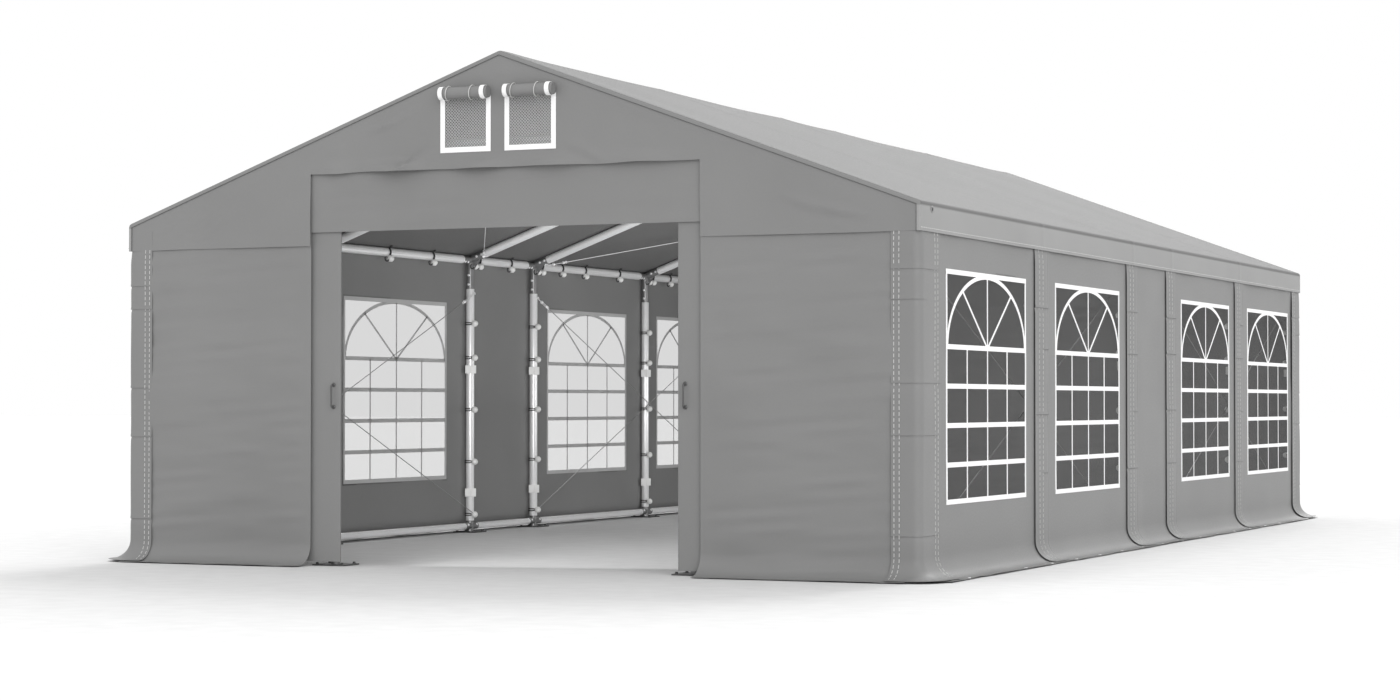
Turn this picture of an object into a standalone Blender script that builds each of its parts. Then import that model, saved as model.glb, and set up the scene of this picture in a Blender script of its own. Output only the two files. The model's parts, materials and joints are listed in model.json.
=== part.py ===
"""Marquee tent, 5 m wide and 9 m long: a frame of steel tubes under a grey coated fabric.

Metres, +Z up. The origin is on the ground at the middle of the footprint, and the open front
gable faces -Y. Five bays of 2, 2, 1, 2 and 2 m lie between six lines of posts.
"""

import math

import bmesh
import bpy
from mathutils import Matrix, Vector

# Frame
POST_X = 2.465
POST_LINES = (-4.5, -2.5, -0.5, 0.5, 2.5, 4.5)
END_LINE = 4.5
TUBE_R = 0.030
STUB_R = 0.0225
FLOOR_RAIL_R = 0.024
RIDGE_R = 0.0225
COLLAR_R = 0.0292
COLLAR_LENGTH = 0.14
TUBE_SIDES = 16
FIT = 0.0003

FOOT_HEIGHT = 0.084
PLATE = 0.008
PLATE_HALF = 0.090
DOOR_PLATE_HALF = 0.105
FLOOR_RAIL_Z = 0.045
POST_TOP = 1.780
EAVE_Z = 1.992
ROOF_ANGLE = math.radians(20.1)
CONNECTOR_REACH = 0.130
RIDGE_Z = EAVE_Z + POST_X * math.tan(ROOF_ANGLE)

# Fabric, with every sheet this thick and the skirts lying outwards on the ground
SHEET = 0.006
LAYER = SHEET + FIT
FUSE = 0.001
FILM = 0.002
SKIRT_R = 0.130
SKIRT_FLAT = 0.035
SKIRT_STEPS = 6
WALL_IN = POST_X + TUBE_R + FILM + 2 * FIT
WALL_TOP = 1.975
FLAP_TOP = 1.965
COVER_OUT = WALL_IN + 2 * SHEET
VALANCE_IN = COVER_OUT + FIT
VALANCE_BOTTOM = 1.853
EAVE_FILLET = 0.020

# End walls, counted inwards from the outer face of the gable sheet
GABLE_OUT = 4.645
GABLE_IN = GABLE_OUT - SHEET
COVER_FRONT_IN = GABLE_IN - LAYER
PANEL_OUT = COVER_FRONT_IN - FIT
PANEL_IN = PANEL_OUT - SHEET
HEADER_OUT = PANEL_IN - FIT

# Doorway
OPENING_HALF = 1.240
NOTCH_TOP = 2.272
HEADER_BOTTOM = 1.934
HEADER_TOP = 2.330
HEADER_HALF = 1.300
DOOR_POST_X = 1.150
LEAF_WIDTH = 1.290
LEAF_THICK = 0.020
LEAF_FRONT = 4.613
LEAF_BOTTOM = 0.027
LEAF_TOP = 1.965
LEFT_LEAF_EDGE = -1.052
RIGHT_LEAF_EDGE = 1.095
TRACK_DEPTH = 0.040
TRACK_HEIGHT = 0.040
TRACK_BOTTOM = 1.985
HANGER_WIDTH = 0.060
HANGER_THICK = 0.010
HANGER_INSET = 0.160
HANGER_REACH = 0.024
HANDLE_Z = 0.985
HANDLE_SPAN = 0.128
HANDLE_R = 0.006
HANDLE_LEG_R = 0.0054
HANDLE_PROUD = 0.034
HANDLE_INSET = 0.045

# Windows, flaps and corner covers of the side walls
WINDOW_CENTRES = (-3.5, -1.5, 1.5, 3.5)
WINDOW_WIDTH = 1.380
WINDOW_LOW = 0.414
WINDOW_HIGH = 1.651
FILM_MARGIN = 0.030
FLAP_HALF = 0.140
COVER_SIDE_REACH = 4.330
COVER_FRONT_REACH = 2.345
COVER_BEND = 0.030
BEND_STEPS = 4

# Vents of the gables
VENT_CENTRES = (-0.2145, 0.198)
VENT_WIDTH = 0.268
VENT_LOW = 2.392
VENT_HIGH = 2.700
ROLL_R = 0.042
ROLL_LENGTH = 0.350
ROLL_Z = 2.715
TAB = 0.020

# Bracing wires of the side walls
WIRE_R = 0.003
WIRE_SIDES = 8
WIRE_LOW = 0.130
WIRE_HIGH = 1.740


def clear_scene():
    """Removes every object of the open file."""
    for item in list(bpy.data.objects):
        bpy.data.objects.remove(item)


def make_material(name, color, roughness, metallic=0.0, alpha=1.0):
    """A plain principled material."""
    material = bpy.data.materials.new(name)
    material.use_nodes = True
    shader = material.node_tree.nodes["Principled BSDF"]
    shader.inputs["Base Color"].default_value = (*color, 1.0)
    shader.inputs["Roughness"].default_value = roughness
    shader.inputs["Metallic"].default_value = metallic
    shader.inputs["Alpha"].default_value = alpha
    return material


def make_mesh(shape):
    """Turns a bmesh into a mesh with its faces pointing outwards."""
    bmesh.ops.recalc_face_normals(shape, faces=shape.faces)
    mesh = bpy.data.meshes.new("shape")
    shape.to_mesh(mesh)
    shape.free()
    return mesh


def box(low, high):
    """A block between two corners."""
    shape = bmesh.new()
    bmesh.ops.create_cube(shape, size=1.0)
    size = Vector(high) - Vector(low)
    centre = (Vector(high) + Vector(low)) / 2
    bmesh.ops.scale(shape, vec=size, verts=shape.verts)
    bmesh.ops.translate(shape, vec=centre, verts=shape.verts)
    return make_mesh(shape)


def tube(start, end, radius, flat_side=(0, 0, 1), sides=TUBE_SIDES):
    """A solid round bar whose flats stand off its line by the radius, one of them facing flat_side."""
    start, end = Vector(start), Vector(end)
    along = (end - start).normalized()
    across = along.cross(Vector(flat_side)).normalized()
    upright = across.cross(along)
    turn = Matrix((across, upright, along)).transposed().to_4x4()
    shape = bmesh.new()
    reach = radius / math.cos(math.pi / sides)
    bmesh.ops.create_cone(shape, cap_ends=True, segments=sides, radius1=reach, radius2=reach,
                          depth=(end - start).length)
    half_step = Matrix.Rotation(math.pi / sides, 4, "Z")
    place = Matrix.Translation((start + end) / 2) @ turn @ half_step
    bmesh.ops.transform(shape, matrix=place, verts=shape.verts)
    return make_mesh(shape)


def prism(outline, start, end):
    """A plate with an outline of (x, z) points, from y = start to y = end."""
    shape = bmesh.new()
    base = shape.faces.new([shape.verts.new((x, start, z)) for x, z in outline])
    grown = bmesh.ops.extrude_face_region(shape, geom=[base])
    moved = [item for item in grown["geom"] if isinstance(item, bmesh.types.BMVert)]
    bmesh.ops.translate(shape, vec=(0, end - start, 0), verts=moved)
    return make_mesh(shape)


def sweep(path, profile):
    """Sweeps a closed profile of (offset, z) points along a path of (point, outward normal) pairs."""
    shape = bmesh.new()
    rings = []
    for point, normal in path:
        place = Vector(point)
        out = Vector(normal)
        ring = [shape.verts.new((place.x + out.x * d, place.y + out.y * d, z)) for d, z in profile]
        rings.append(ring)
    count = len(profile)
    for near, far in zip(rings, rings[1:]):
        for i in range(count):
            j = (i + 1) % count
            shape.faces.new((near[i], near[j], far[j], far[i]))
    shape.faces.new(rings[0])
    shape.faces.new(list(reversed(rings[-1])))
    return make_mesh(shape)


def combine(first, second, operation):
    """Joins or cuts two closed meshes and returns the new mesh."""
    kept = bpy.data.objects.new("kept", first)
    other = bpy.data.objects.new("other", second)
    for item in (kept, other):
        bpy.context.scene.collection.objects.link(item)
    modifier = kept.modifiers.new("combine", "BOOLEAN")
    modifier.operation = operation
    modifier.solver = "EXACT"
    modifier.object = other
    evaluated = kept.evaluated_get(bpy.context.evaluated_depsgraph_get())
    mesh = bpy.data.meshes.new_from_object(evaluated)
    for item in (kept, other):
        bpy.data.objects.remove(item)
    return mesh


def union(*meshes):
    """Joins any number of meshes that overlap into one closed body."""
    joined = meshes[0]
    for mesh in meshes[1:]:
        joined = combine(joined, mesh, "UNION")
    return joined


def cut(mesh, *cutters):
    """Cuts each of the cutters out of a mesh."""
    for cutter in cutters:
        mesh = combine(mesh, cutter, "DIFFERENCE")
    return mesh


def add_part(name, mesh, material, round_part=False):
    """Adds one named piece to the scene."""
    part = bpy.data.objects.new(name, mesh)
    bpy.context.scene.collection.objects.link(part)
    mesh.name = name
    mesh.materials.clear()
    mesh.materials.append(material)
    for face in mesh.polygons:
        face.material_index = 0
    if round_part:
        mesh.shade_smooth()
        mesh.set_sharp_from_angle(angle=math.radians(35))
    return part


def roof_line(offset):
    """The roof's section from one valance to the other, offset outwards from its inner face."""
    sine, cosine = math.sin(ROOF_ANGLE), math.cos(ROOF_ANGLE)
    reach = TUBE_R + FIT
    centre_x = VALANCE_IN - EAVE_FILLET
    centre_z = RIDGE_Z + (reach - EAVE_FILLET - sine * centre_x) / cosine
    right = [(VALANCE_IN + offset, VALANCE_BOTTOM)]
    start = math.pi / 2 - ROOF_ANGLE
    for step in range(BEND_STEPS + 1):
        angle = start * step / BEND_STEPS
        radius = EAVE_FILLET + offset
        right.append((centre_x + radius * math.cos(angle), centre_z + radius * math.sin(angle)))
    for step in range(BEND_STEPS // 2 + 1):
        angle = start + ROOF_ANGLE * step / (BEND_STEPS // 2)
        radius = reach + offset
        right.append((radius * math.cos(angle), RIDGE_Z + radius * math.sin(angle)))
    left = [(-x, z) for x, z in reversed(right[:-1])]
    return right + left


def skirt_profile(offset, thickness, top, flat=SKIRT_FLAT):
    """The section of a wall sheet: upright, then curving outwards until it lies on the ground.

    offset counts outwards from the inner face of the innermost sheet, whose skirt lies on the
    ground. A sheet further out lies on that one.
    """
    lower, upper = SKIRT_R - offset, SKIRT_R - offset - thickness
    outer_edge = SKIRT_R + flat
    arc = [math.pi / 2 * step / SKIRT_STEPS for step in range(SKIRT_STEPS + 1)]
    under = [(SKIRT_R - lower * math.cos(a), SKIRT_R - lower * math.sin(a)) for a in arc]
    over = [(SKIRT_R - upper * math.cos(a), SKIRT_R - upper * math.sin(a)) for a in reversed(arc)]
    edge = [(outer_edge, SKIRT_R - lower), (outer_edge, SKIRT_R - upper)] if flat else []
    return [(offset, top), *under, *edge, *over, (offset + thickness, top)]


def side_path(side, start, end):
    """A straight path along one side wall's inner face."""
    normal = (side, 0, 0)
    return [((side * WALL_IN, start, 0), normal), ((side * WALL_IN, end, 0), normal)]


def corner_path(side, end):
    """A path round one corner, for a cover whose front leg clears the end wall's panel."""
    side_in = WALL_IN
    front_in = PANEL_IN
    normals = [(side, 0, 0)]
    points = [(side * side_in, end * COVER_SIDE_REACH, 0)]
    centre = (side_in - COVER_BEND, front_in - COVER_BEND)
    for step in range(BEND_STEPS + 1):
        angle = math.pi / 2 * step / BEND_STEPS
        out = (side * math.cos(angle), end * math.sin(angle), 0)
        points.append((side * centre[0] + out[0] * COVER_BEND, end * centre[1] + out[1] * COVER_BEND, 0))
        normals.append(out)
    points.append((side * COVER_FRONT_REACH, end * front_in, 0))
    normals.append((0, end, 0))
    return list(zip(points, normals))


def add_base_rails(steel):
    """Floor rails with the posts' feet: one along each side and one across the rear."""
    def foot(x, y, half=PLATE_HALF):
        plate = box((x - half, y - PLATE_HALF, 0), (x + half, y + PLATE_HALF, PLATE))
        sleeve = tube((x, y, PLATE / 2), (x, y, FOOT_HEIGHT), STUB_R, (0, 1, 0))
        return union(plate, sleeve)

    for side, word in ((-1, "left"), (1, "right")):
        x = side * POST_X
        rail = tube((x, -END_LINE, FLOOR_RAIL_Z), (x, END_LINE, FLOOR_RAIL_Z), FLOOR_RAIL_R)
        rail = union(rail, *[foot(x, y) for y in POST_LINES])
        add_part(f"base_rail_{word}", rail, steel, True)
    reach = POST_X - FLOOR_RAIL_R - FIT
    rear = tube((-reach, END_LINE, FLOOR_RAIL_Z), (reach, END_LINE, FLOOR_RAIL_Z), FLOOR_RAIL_R)
    rear = union(rear, foot(-DOOR_POST_X, END_LINE), foot(DOOR_POST_X, END_LINE))
    add_part("base_rail_rear", rear, steel, True)


def add_posts(steel):
    """The wall posts, the door posts with their own feet, and the posts of the rear gable."""
    low = FOOT_HEIGHT + FIT
    for side, word in ((-1, "left"), (1, "right")):
        for number, y in enumerate(POST_LINES, 1):
            x = side * POST_X
            post = tube((x, y, low), (x, y, POST_TOP), TUBE_R, (0, 1, 0))
            add_part(f"post_{word}_{number}", post, steel, True)
        x = side * DOOR_POST_X
        outer = DOOR_POST_X + TUBE_R
        top = RIDGE_Z - outer * math.tan(ROOF_ANGLE) - TUBE_R / math.cos(ROOF_ANGLE) - FIT
        plate = box((x - DOOR_PLATE_HALF, -END_LINE - PLATE_HALF, 0),
                    (x + DOOR_PLATE_HALF, -END_LINE + PLATE_HALF, PLATE))
        sleeve = tube((x, -END_LINE, PLATE / 2), (x, -END_LINE, FOOT_HEIGHT + PLATE), STUB_R, (0, 1, 0))
        post = tube((x, -END_LINE, FOOT_HEIGHT), (x, -END_LINE, top), TUBE_R, (0, 1, 0))
        add_part(f"door_post_{word}", union(plate, sleeve, post), steel, True)
        rear = tube((x, END_LINE, low), (x, END_LINE, top), TUBE_R, (0, 1, 0))
        add_part(f"rear_post_{word}", rear, steel, True)


def add_gable_ties(steel):
    """A level tube in each gable, between the heads of its two posts and close under the rafters."""
    reach = DOOR_POST_X - TUBE_R
    top = RIDGE_Z - reach * math.tan(ROOF_ANGLE) - TUBE_R / math.cos(ROOF_ANGLE) - FIT
    z = top - STUB_R
    for y, place in ((-END_LINE, "front"), (END_LINE, "rear")):
        tie = tube((FIT - reach, y, z), (reach - FIT, y, z), STUB_R)
        add_part(f"gable_tie_{place}", tie, steel, True)


def add_eave_rails(steel):
    """Eave purlins with the connector of each frame: a stub down to its post and one up its rafter."""
    slope = Vector((-math.cos(ROOF_ANGLE), 0, math.sin(ROOF_ANGLE)))
    for side, word in ((-1, "left"), (1, "right")):
        x = side * POST_X
        facing = (side * math.sin(ROOF_ANGLE), 0, math.cos(ROOF_ANGLE))
        reach = END_LINE + TUBE_R
        rail = tube((x, -reach, EAVE_Z), (x, reach, EAVE_Z), TUBE_R, facing)
        uphill = Vector((side * slope.x, 0, slope.z)) * CONNECTOR_REACH
        stubs = []
        for y in POST_LINES:
            knee = Vector((x, y, EAVE_Z))
            stubs.append(tube((x, y, POST_TOP + FIT), knee, STUB_R, (0, 1, 0)))
            stubs.append(tube(knee, knee + uphill, STUB_R, facing))
        add_part(f"eave_rail_{word}", union(rail, *stubs), steel, True)


def add_ridge_and_rafters(steel):
    """Six pairs of rafters, each with a collar at the top that the ridge rail runs through."""
    reach = END_LINE + COLLAR_LENGTH / 2
    ridge = tube((0, -reach, RIDGE_Z), (0, reach, RIDGE_Z), RIDGE_R)
    add_part("ridge_rail", ridge, steel, True)
    length = POST_X / math.cos(ROOF_ANGLE)
    for number, y in enumerate(POST_LINES, 1):
        top = Vector((0, y, RIDGE_Z))
        half = COLLAR_LENGTH / 2
        pieces = [tube((0, y - half, RIDGE_Z), (0, y + half, RIDGE_Z), COLLAR_R)]
        for side in (-1, 1):
            down = Vector((side * math.cos(ROOF_ANGLE), 0, -math.sin(ROOF_ANGLE)))
            facing = (side * math.sin(ROOF_ANGLE), 0, math.cos(ROOF_ANGLE))
            high = top + down * CONNECTOR_REACH
            low = top + down * (length - CONNECTOR_REACH - FIT)
            pieces.append(tube(top, high + down * TUBE_R, STUB_R, facing))
            pieces.append(tube(high, low, TUBE_R, facing))
        bore = tube((0, y - half - TUBE_R, RIDGE_Z), (0, y + half + TUBE_R, RIDGE_Z), RIDGE_R + FIT)
        add_part(f"rafters_{number}", cut(union(*pieces), bore), steel, True)


def add_wires(wire_steel):
    """Crossed bracing wires on each side wall, over the two bays at each end."""
    spans = (("front", POST_LINES[0], POST_LINES[2]), ("rear", POST_LINES[3], POST_LINES[5]))
    near = POST_X - TUBE_R - FIT - WIRE_R
    far = near - 2 * WIRE_R - FIT
    for side, word in ((-1, "left"), (1, "right")):
        for place, start, end in spans:
            for x, low, high, slant in ((side * near, WIRE_LOW, WIRE_HIGH, "rising"),
                                        (side * far, WIRE_HIGH, WIRE_LOW, "falling")):
                wire = tube((x, start, low), (x, end, high), WIRE_R, (1, 0, 0), WIRE_SIDES)
                add_part(f"brace_{word}_{place}_{slant}", wire, wire_steel, True)


def add_side_walls(fabric, film):
    """Each side wall with its windows cut through, its flaps, its corner covers and its skirt."""
    half = WINDOW_WIDTH / 2
    wall_end = PANEL_IN - COVER_BEND
    film_low = WINDOW_CENTRES[0] - half - FILM_MARGIN
    film_high = WINDOW_CENTRES[-1] + half + FILM_MARGIN
    for side, word in ((-1, "left"), (1, "right")):
        def slab(near, far, start, end, low, high):
            inner, outer = sorted((side * (WALL_IN + near), side * (WALL_IN + far)))
            return box((inner, start, low), (outer, end, high))

        wall = sweep(side_path(side, -wall_end, wall_end), skirt_profile(0, SHEET, WALL_TOP))
        over = skirt_profile(SHEET - FUSE, SHEET + FUSE, FLAP_TOP, 0)
        flaps = [sweep(side_path(side, y - FLAP_HALF, y + FLAP_HALF), over) for y in POST_LINES[1:-1]]
        around = skirt_profile(LAYER, SHEET - FIT, FLAP_TOP, 0)
        covers = [sweep(corner_path(side, end), around) for end in (-1, 1)]
        seams = []
        for end in (-1, 1):
            start, stop = sorted((end * (COVER_SIDE_REACH + FUSE), end * END_LINE))
            seams.append(slab(SHEET - FUSE, SHEET + 2 * FUSE, start, stop, SKIRT_R, FLAP_TOP - FUSE))
        holes = [slab(-SKIRT_R, SKIRT_R, y - half, y + half, WINDOW_LOW, WINDOW_HIGH)
                 for y in WINDOW_CENTRES]
        add_part(f"side_wall_{word}", cut(union(wall, *flaps, *seams, *covers), *holes), fabric)
        panes = slab(-FIT - FILM, -FIT, film_low, film_high,
                     WINDOW_LOW - FILM_MARGIN, WINDOW_HIGH + FILM_MARGIN)
        add_part(f"window_film_{word}", panes, film)


def add_end_walls(fabric):
    """The two front panels beside the doorway, the header over it and the closed rear wall."""
    edge = WALL_IN - COVER_BEND
    sheet = skirt_profile(0, SHEET, WALL_TOP)
    for side, word in ((-1, "left"), (1, "right")):
        path = [((side * OPENING_HALF, -PANEL_IN, 0), (0, -1, 0)), ((side * edge, -PANEL_IN, 0), (0, -1, 0))]
        add_part(f"front_panel_{word}", sweep(path, sheet), fabric)
    rear = [((-edge, PANEL_IN, 0), (0, 1, 0)), ((edge, PANEL_IN, 0), (0, 1, 0))]
    add_part("rear_wall", sweep(rear, sheet), fabric)
    header = box((-HEADER_HALF, -HEADER_OUT, HEADER_BOTTOM), (HEADER_HALF, -HEADER_OUT + SHEET, HEADER_TOP))
    add_part("door_header", header, fabric)


def add_roof_and_gables(fabric):
    """The roof sheet with its valances, and the two gable sheets that hang inside its ends."""
    outer = roof_line(SHEET)
    inner = list(reversed(roof_line(0)))
    add_part("roof_sheet", prism(outer + inner, -GABLE_OUT, GABLE_OUT), fabric)
    rim = roof_line(-FIT)
    notch = [(-OPENING_HALF, VALANCE_BOTTOM), (-OPENING_HALF, NOTCH_TOP),
             (OPENING_HALF, NOTCH_TOP), (OPENING_HALF, VALANCE_BOTTOM)]

    def vent_holes():
        half, reach = VENT_WIDTH / 2, GABLE_OUT + SHEET
        return [box((x - half, -reach, VENT_LOW), (x + half, reach, VENT_HIGH)) for x in VENT_CENTRES]

    front = prism(rim + notch, -GABLE_OUT, -GABLE_IN)
    add_part("front_gable", cut(front, *vent_holes()), fabric)
    rear = prism(rim, GABLE_IN, GABLE_OUT)
    add_part("rear_gable", cut(rear, *vent_holes()), fabric)


def add_vents(net):
    """The nets in the gables' openings, each with its cover flap rolled up above it."""
    half = VENT_WIDTH / 2 - FIT
    for end, place in ((-1, "front"), (1, "rear")):
        for x, word in zip(VENT_CENTRES, ("left", "right")):
            near, far = sorted((end * GABLE_IN, end * GABLE_OUT))
            plate = box((x - half, near, VENT_LOW + FIT), (x + half, far, VENT_HIGH - FIT))
            roll_y = end * (GABLE_OUT + FIT + ROLL_R)
            roll = tube((x - ROLL_LENGTH / 2, roll_y, ROLL_Z), (x + ROLL_LENGTH / 2, roll_y, ROLL_Z), ROLL_R)
            near, far = sorted((end * GABLE_IN, roll_y))
            tab = box((x - half, near, VENT_HIGH - FIT - TAB), (x + half, far, VENT_HIGH - FIT))
            add_part(f"vent_{place}_{word}", union(plate, tab, roll), net)


def add_door(fabric, steel, plastic):
    """The track over the doorway and the two leaves that hang on it, each with its handle."""
    back = -END_LINE - TUBE_R - FIT
    track_top = TRACK_BOTTOM + TRACK_HEIGHT
    reach = POST_X - TUBE_R
    track = box((-reach, back - TRACK_DEPTH, TRACK_BOTTOM), (reach, back, track_top))
    add_part("door_track", track, steel)
    for side, word, edge in ((-1, "left", LEFT_LEAF_EDGE), (1, "right", RIGHT_LEAF_EDGE)):
        low, high = sorted((edge, edge + side * LEAF_WIDTH))
        face = -LEAF_FRONT
        pieces = [box((low, face, LEAF_BOTTOM), (high, face + LEAF_THICK, LEAF_TOP))]
        for x in (low + HANGER_INSET, high - HANGER_INSET):
            left, right = x - HANGER_WIDTH / 2, x + HANGER_WIDTH / 2
            top = track_top + FIT + HANGER_THICK
            upright = box((left, face + LEAF_THICK - HANGER_THICK, LEAF_TOP - HANGER_WIDTH),
                          (right, face + LEAF_THICK + FUSE, top))
            arm = box((left, face + LEAF_THICK - HANGER_THICK / 2, track_top + FIT),
                      (right, back - TRACK_DEPTH + HANGER_REACH, top))
            pieces += [upright, arm]
        add_part(f"door_leaf_{word}", union(*pieces), fabric)
        x = edge + side * HANDLE_INSET
        grip_y = face - HANDLE_PROUD + HANDLE_R
        ends = (HANDLE_Z - HANDLE_SPAN / 2, HANDLE_Z + HANDLE_SPAN / 2)
        grip = tube((x, grip_y, ends[0] - HANDLE_R), (x, grip_y, ends[1] + HANDLE_R), HANDLE_R, (0, 1, 0))
        legs = [tube((x, face - FIT, z), (x, grip_y, z), HANDLE_LEG_R, (0, 0, 1)) for z in ends]
        add_part(f"door_handle_{word}", union(grip, *legs), plastic, True)


def main():
    """Builds the whole tent."""
    clear_scene()
    steel = make_material("galvanised_steel", (0.62, 0.63, 0.64), 0.35, 0.9)
    wire_steel = make_material("steel_wire", (0.45, 0.46, 0.47), 0.4, 0.9)
    fabric = make_material("grey_fabric", (0.27, 0.27, 0.265), 0.6)
    film = make_material("clear_film", (0.85, 0.87, 0.88), 0.1, 0.0, 0.3)
    net = make_material("grey_net", (0.33, 0.33, 0.33), 0.7)
    plastic = make_material("grey_plastic", (0.12, 0.12, 0.12), 0.4)
    add_base_rails(steel)
    add_posts(steel)
    add_gable_ties(steel)
    add_eave_rails(steel)
    add_ridge_and_rafters(steel)
    add_wires(wire_steel)
    add_side_walls(fabric, film)
    add_end_walls(fabric)
    add_roof_and_gables(fabric)
    add_vents(net)
    add_door(fabric, steel, plastic)


main()
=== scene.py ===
"""Looks of a marquee tent: grey coated fabric over a frame of galvanised tubes.

Metres, +Z up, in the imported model's own frame: the origin is on the ground at the middle of the
tent, and the open front gable faces -Y. Each class below dresses one sub-assembly of the tent.
"""

from __future__ import annotations

import json
import logging
import math
from collections.abc import Callable, Iterable, Sequence
from dataclasses import dataclass
from enum import Enum

import bmesh
import bpy
import numpy as np
from mathutils import Matrix, Vector

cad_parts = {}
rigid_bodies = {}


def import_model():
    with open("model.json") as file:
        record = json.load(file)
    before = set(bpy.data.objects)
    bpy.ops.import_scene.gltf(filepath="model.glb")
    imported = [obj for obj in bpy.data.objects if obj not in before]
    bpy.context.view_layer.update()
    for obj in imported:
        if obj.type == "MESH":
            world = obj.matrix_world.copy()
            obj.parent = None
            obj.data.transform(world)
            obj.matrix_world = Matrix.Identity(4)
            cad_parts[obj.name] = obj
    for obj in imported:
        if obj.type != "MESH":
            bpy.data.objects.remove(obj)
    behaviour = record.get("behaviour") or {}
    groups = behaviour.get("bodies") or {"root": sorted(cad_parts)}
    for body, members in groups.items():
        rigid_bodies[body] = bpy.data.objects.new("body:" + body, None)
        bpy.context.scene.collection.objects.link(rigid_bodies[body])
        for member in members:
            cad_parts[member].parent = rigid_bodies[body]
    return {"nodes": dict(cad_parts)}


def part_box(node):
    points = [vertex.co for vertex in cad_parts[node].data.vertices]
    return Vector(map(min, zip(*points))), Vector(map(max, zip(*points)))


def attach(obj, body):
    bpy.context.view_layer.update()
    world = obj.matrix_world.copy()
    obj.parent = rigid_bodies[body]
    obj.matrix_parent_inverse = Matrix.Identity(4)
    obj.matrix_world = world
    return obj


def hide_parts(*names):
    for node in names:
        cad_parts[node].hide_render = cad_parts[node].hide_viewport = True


LOG = logging.getLogger("marquee")

Mesh = bpy.types.Mesh
Material = bpy.types.Material
Node = bpy.types.Node
Socket = bpy.types.NodeSocket
Grid = np.ndarray
Field = Callable[[Grid, Grid], Grid]
Line = Sequence[Sequence[float]]
Row = tuple[Grid, Grid]
Names = Sequence[str]
Pair = tuple[float, float]
Spot = tuple[float, float, float]
Holes = Sequence[tuple[float, float, float, float]]


class Sign(Enum):
    """A side or an end of the tent, by the sign of its axis."""

    @property
    def word(self) -> str:
        """The word for it in the pieces' names."""
        return self.name.lower()


class Side(Sign):
    """The two long walls, by the sign of their X."""

    LEFT = -1
    RIGHT = 1


class End(Sign):
    """The two gable ends, by the sign of their Y."""

    FRONT = -1
    REAR = 1


@dataclass(frozen=True)
class TentPlan:
    """Driving dimensions that several sub-assemblies share."""

    post_x: float = 2.465
    post_lines: tuple[float, ...] = (-4.5, -2.5, -0.5, 0.5, 2.5, 4.5)
    tube_r: float = 0.030
    stub_r: float = 0.0225
    rail_r: float = 0.024
    rail_z: float = 0.045
    eave_z: float = 1.992
    roof_angle: float = math.radians(20.1)
    post_foot: float = 0.084
    post_top: float = 1.780
    connector: float = 0.130
    wall_in: float = 2.4976
    panel_in: float = 4.6264
    wall_top: float = 1.975
    gable_out: float = 4.645
    sheet: float = 0.006
    skirt_r: float = 0.130
    skirt_flat: float = 0.035
    valance_z: float = 1.853
    roof_rise: float = 0.0363
    door_post_x: float = 1.150
    opening_half: float = 1.240
    tie_heights: tuple[float, ...] = (0.130, 0.515, 0.895, 1.275, 1.525)
    fit: float = 0.0003

    @property
    def ridge_z(self) -> float:
        """The height of the ridge rail's axis."""
        return self.eave_z + self.post_x * math.tan(self.roof_angle)

    @property
    def end_y(self) -> float:
        """How far the end posts stand from the middle."""
        return self.post_lines[-1]

    def under_rafter(self, x: float) -> float:
        """The height of the rafters' underside at a distance from the middle."""
        return self.ridge_z - x * math.tan(self.roof_angle) - self.tube_r / math.cos(self.roof_angle)


class Bench:
    """Adds and links the nodes of one node tree."""

    def __init__(self, tree: bpy.types.NodeTree) -> None:
        """Works on the given tree."""
        self.tree = tree

    def add(self, kind: str, feeds: dict | None = None, **settings: object) -> Node:
        """Adds one node.

        Args:
            kind: Blender's name of the node type.
            feeds: What goes into each socket, by name or number: a value, a node or a socket.
            settings: Properties of the node.

        Returns:
            The new node.
        """
        node = self.tree.nodes.new(kind)
        for name, value in settings.items():
            setattr(node, name, value)
        for key, value in (feeds or {}).items():
            self.feed(node.inputs[key], value)
        return node

    def feed(self, socket: Socket, value: object) -> None:
        """Links a node or a socket to an input, or sets the input's own value.

        Args:
            socket: The input.
            value: A node, a socket or a plain value.
        """
        if isinstance(value, Node):
            value = value.outputs[0]
        if isinstance(value, Socket):
            self.tree.links.new(value, socket)
        else:
            socket.default_value = value

    def math(self, operation: str, *values: object) -> Socket:
        """Works out one number from others."""
        return self.add("ShaderNodeMath", dict(enumerate(values)), operation=operation).outputs[0]

    def ranged(self, value: object, low: float, high: float, first: float, last: float) -> Socket:
        """Carries a value between low and high over to another range."""
        return self.add("ShaderNodeMapRange", {0: value, 1: low, 2: high, 3: first, 4: last}).outputs[0]

    def mixed(self, factor: object, first: Sequence[float], second: Sequence[float]) -> Socket:
        """Mixes two colours by a factor."""
        colors = {0: factor, 6: (*first, 1.0), 7: (*second, 1.0)}
        return self.add("ShaderNodeMix", colors, data_type="RGBA").outputs[2]


def shader_group(name: str, inputs: dict[str, str], output: str) -> tuple[Bench, dict, Node]:
    """Starts a shader group with named sockets.

    Args:
        name: The group's name.
        inputs: The kind of each input socket, by name.
        output: The name of the single number that it puts out.

    Returns:
        The bench, the input sockets by name, and the output node.
    """
    tree = bpy.data.node_groups.new(name, "ShaderNodeTree")
    for title, kind in inputs.items():
        tree.interface.new_socket(title, in_out="INPUT", socket_type=kind)
    tree.interface.new_socket(output, in_out="OUTPUT", socket_type="NodeSocketFloat")
    bench = Bench(tree)
    start = bench.add("NodeGroupInput")
    return bench, {title: start.outputs[title] for title in inputs}, bench.add("NodeGroupOutput")


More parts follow.
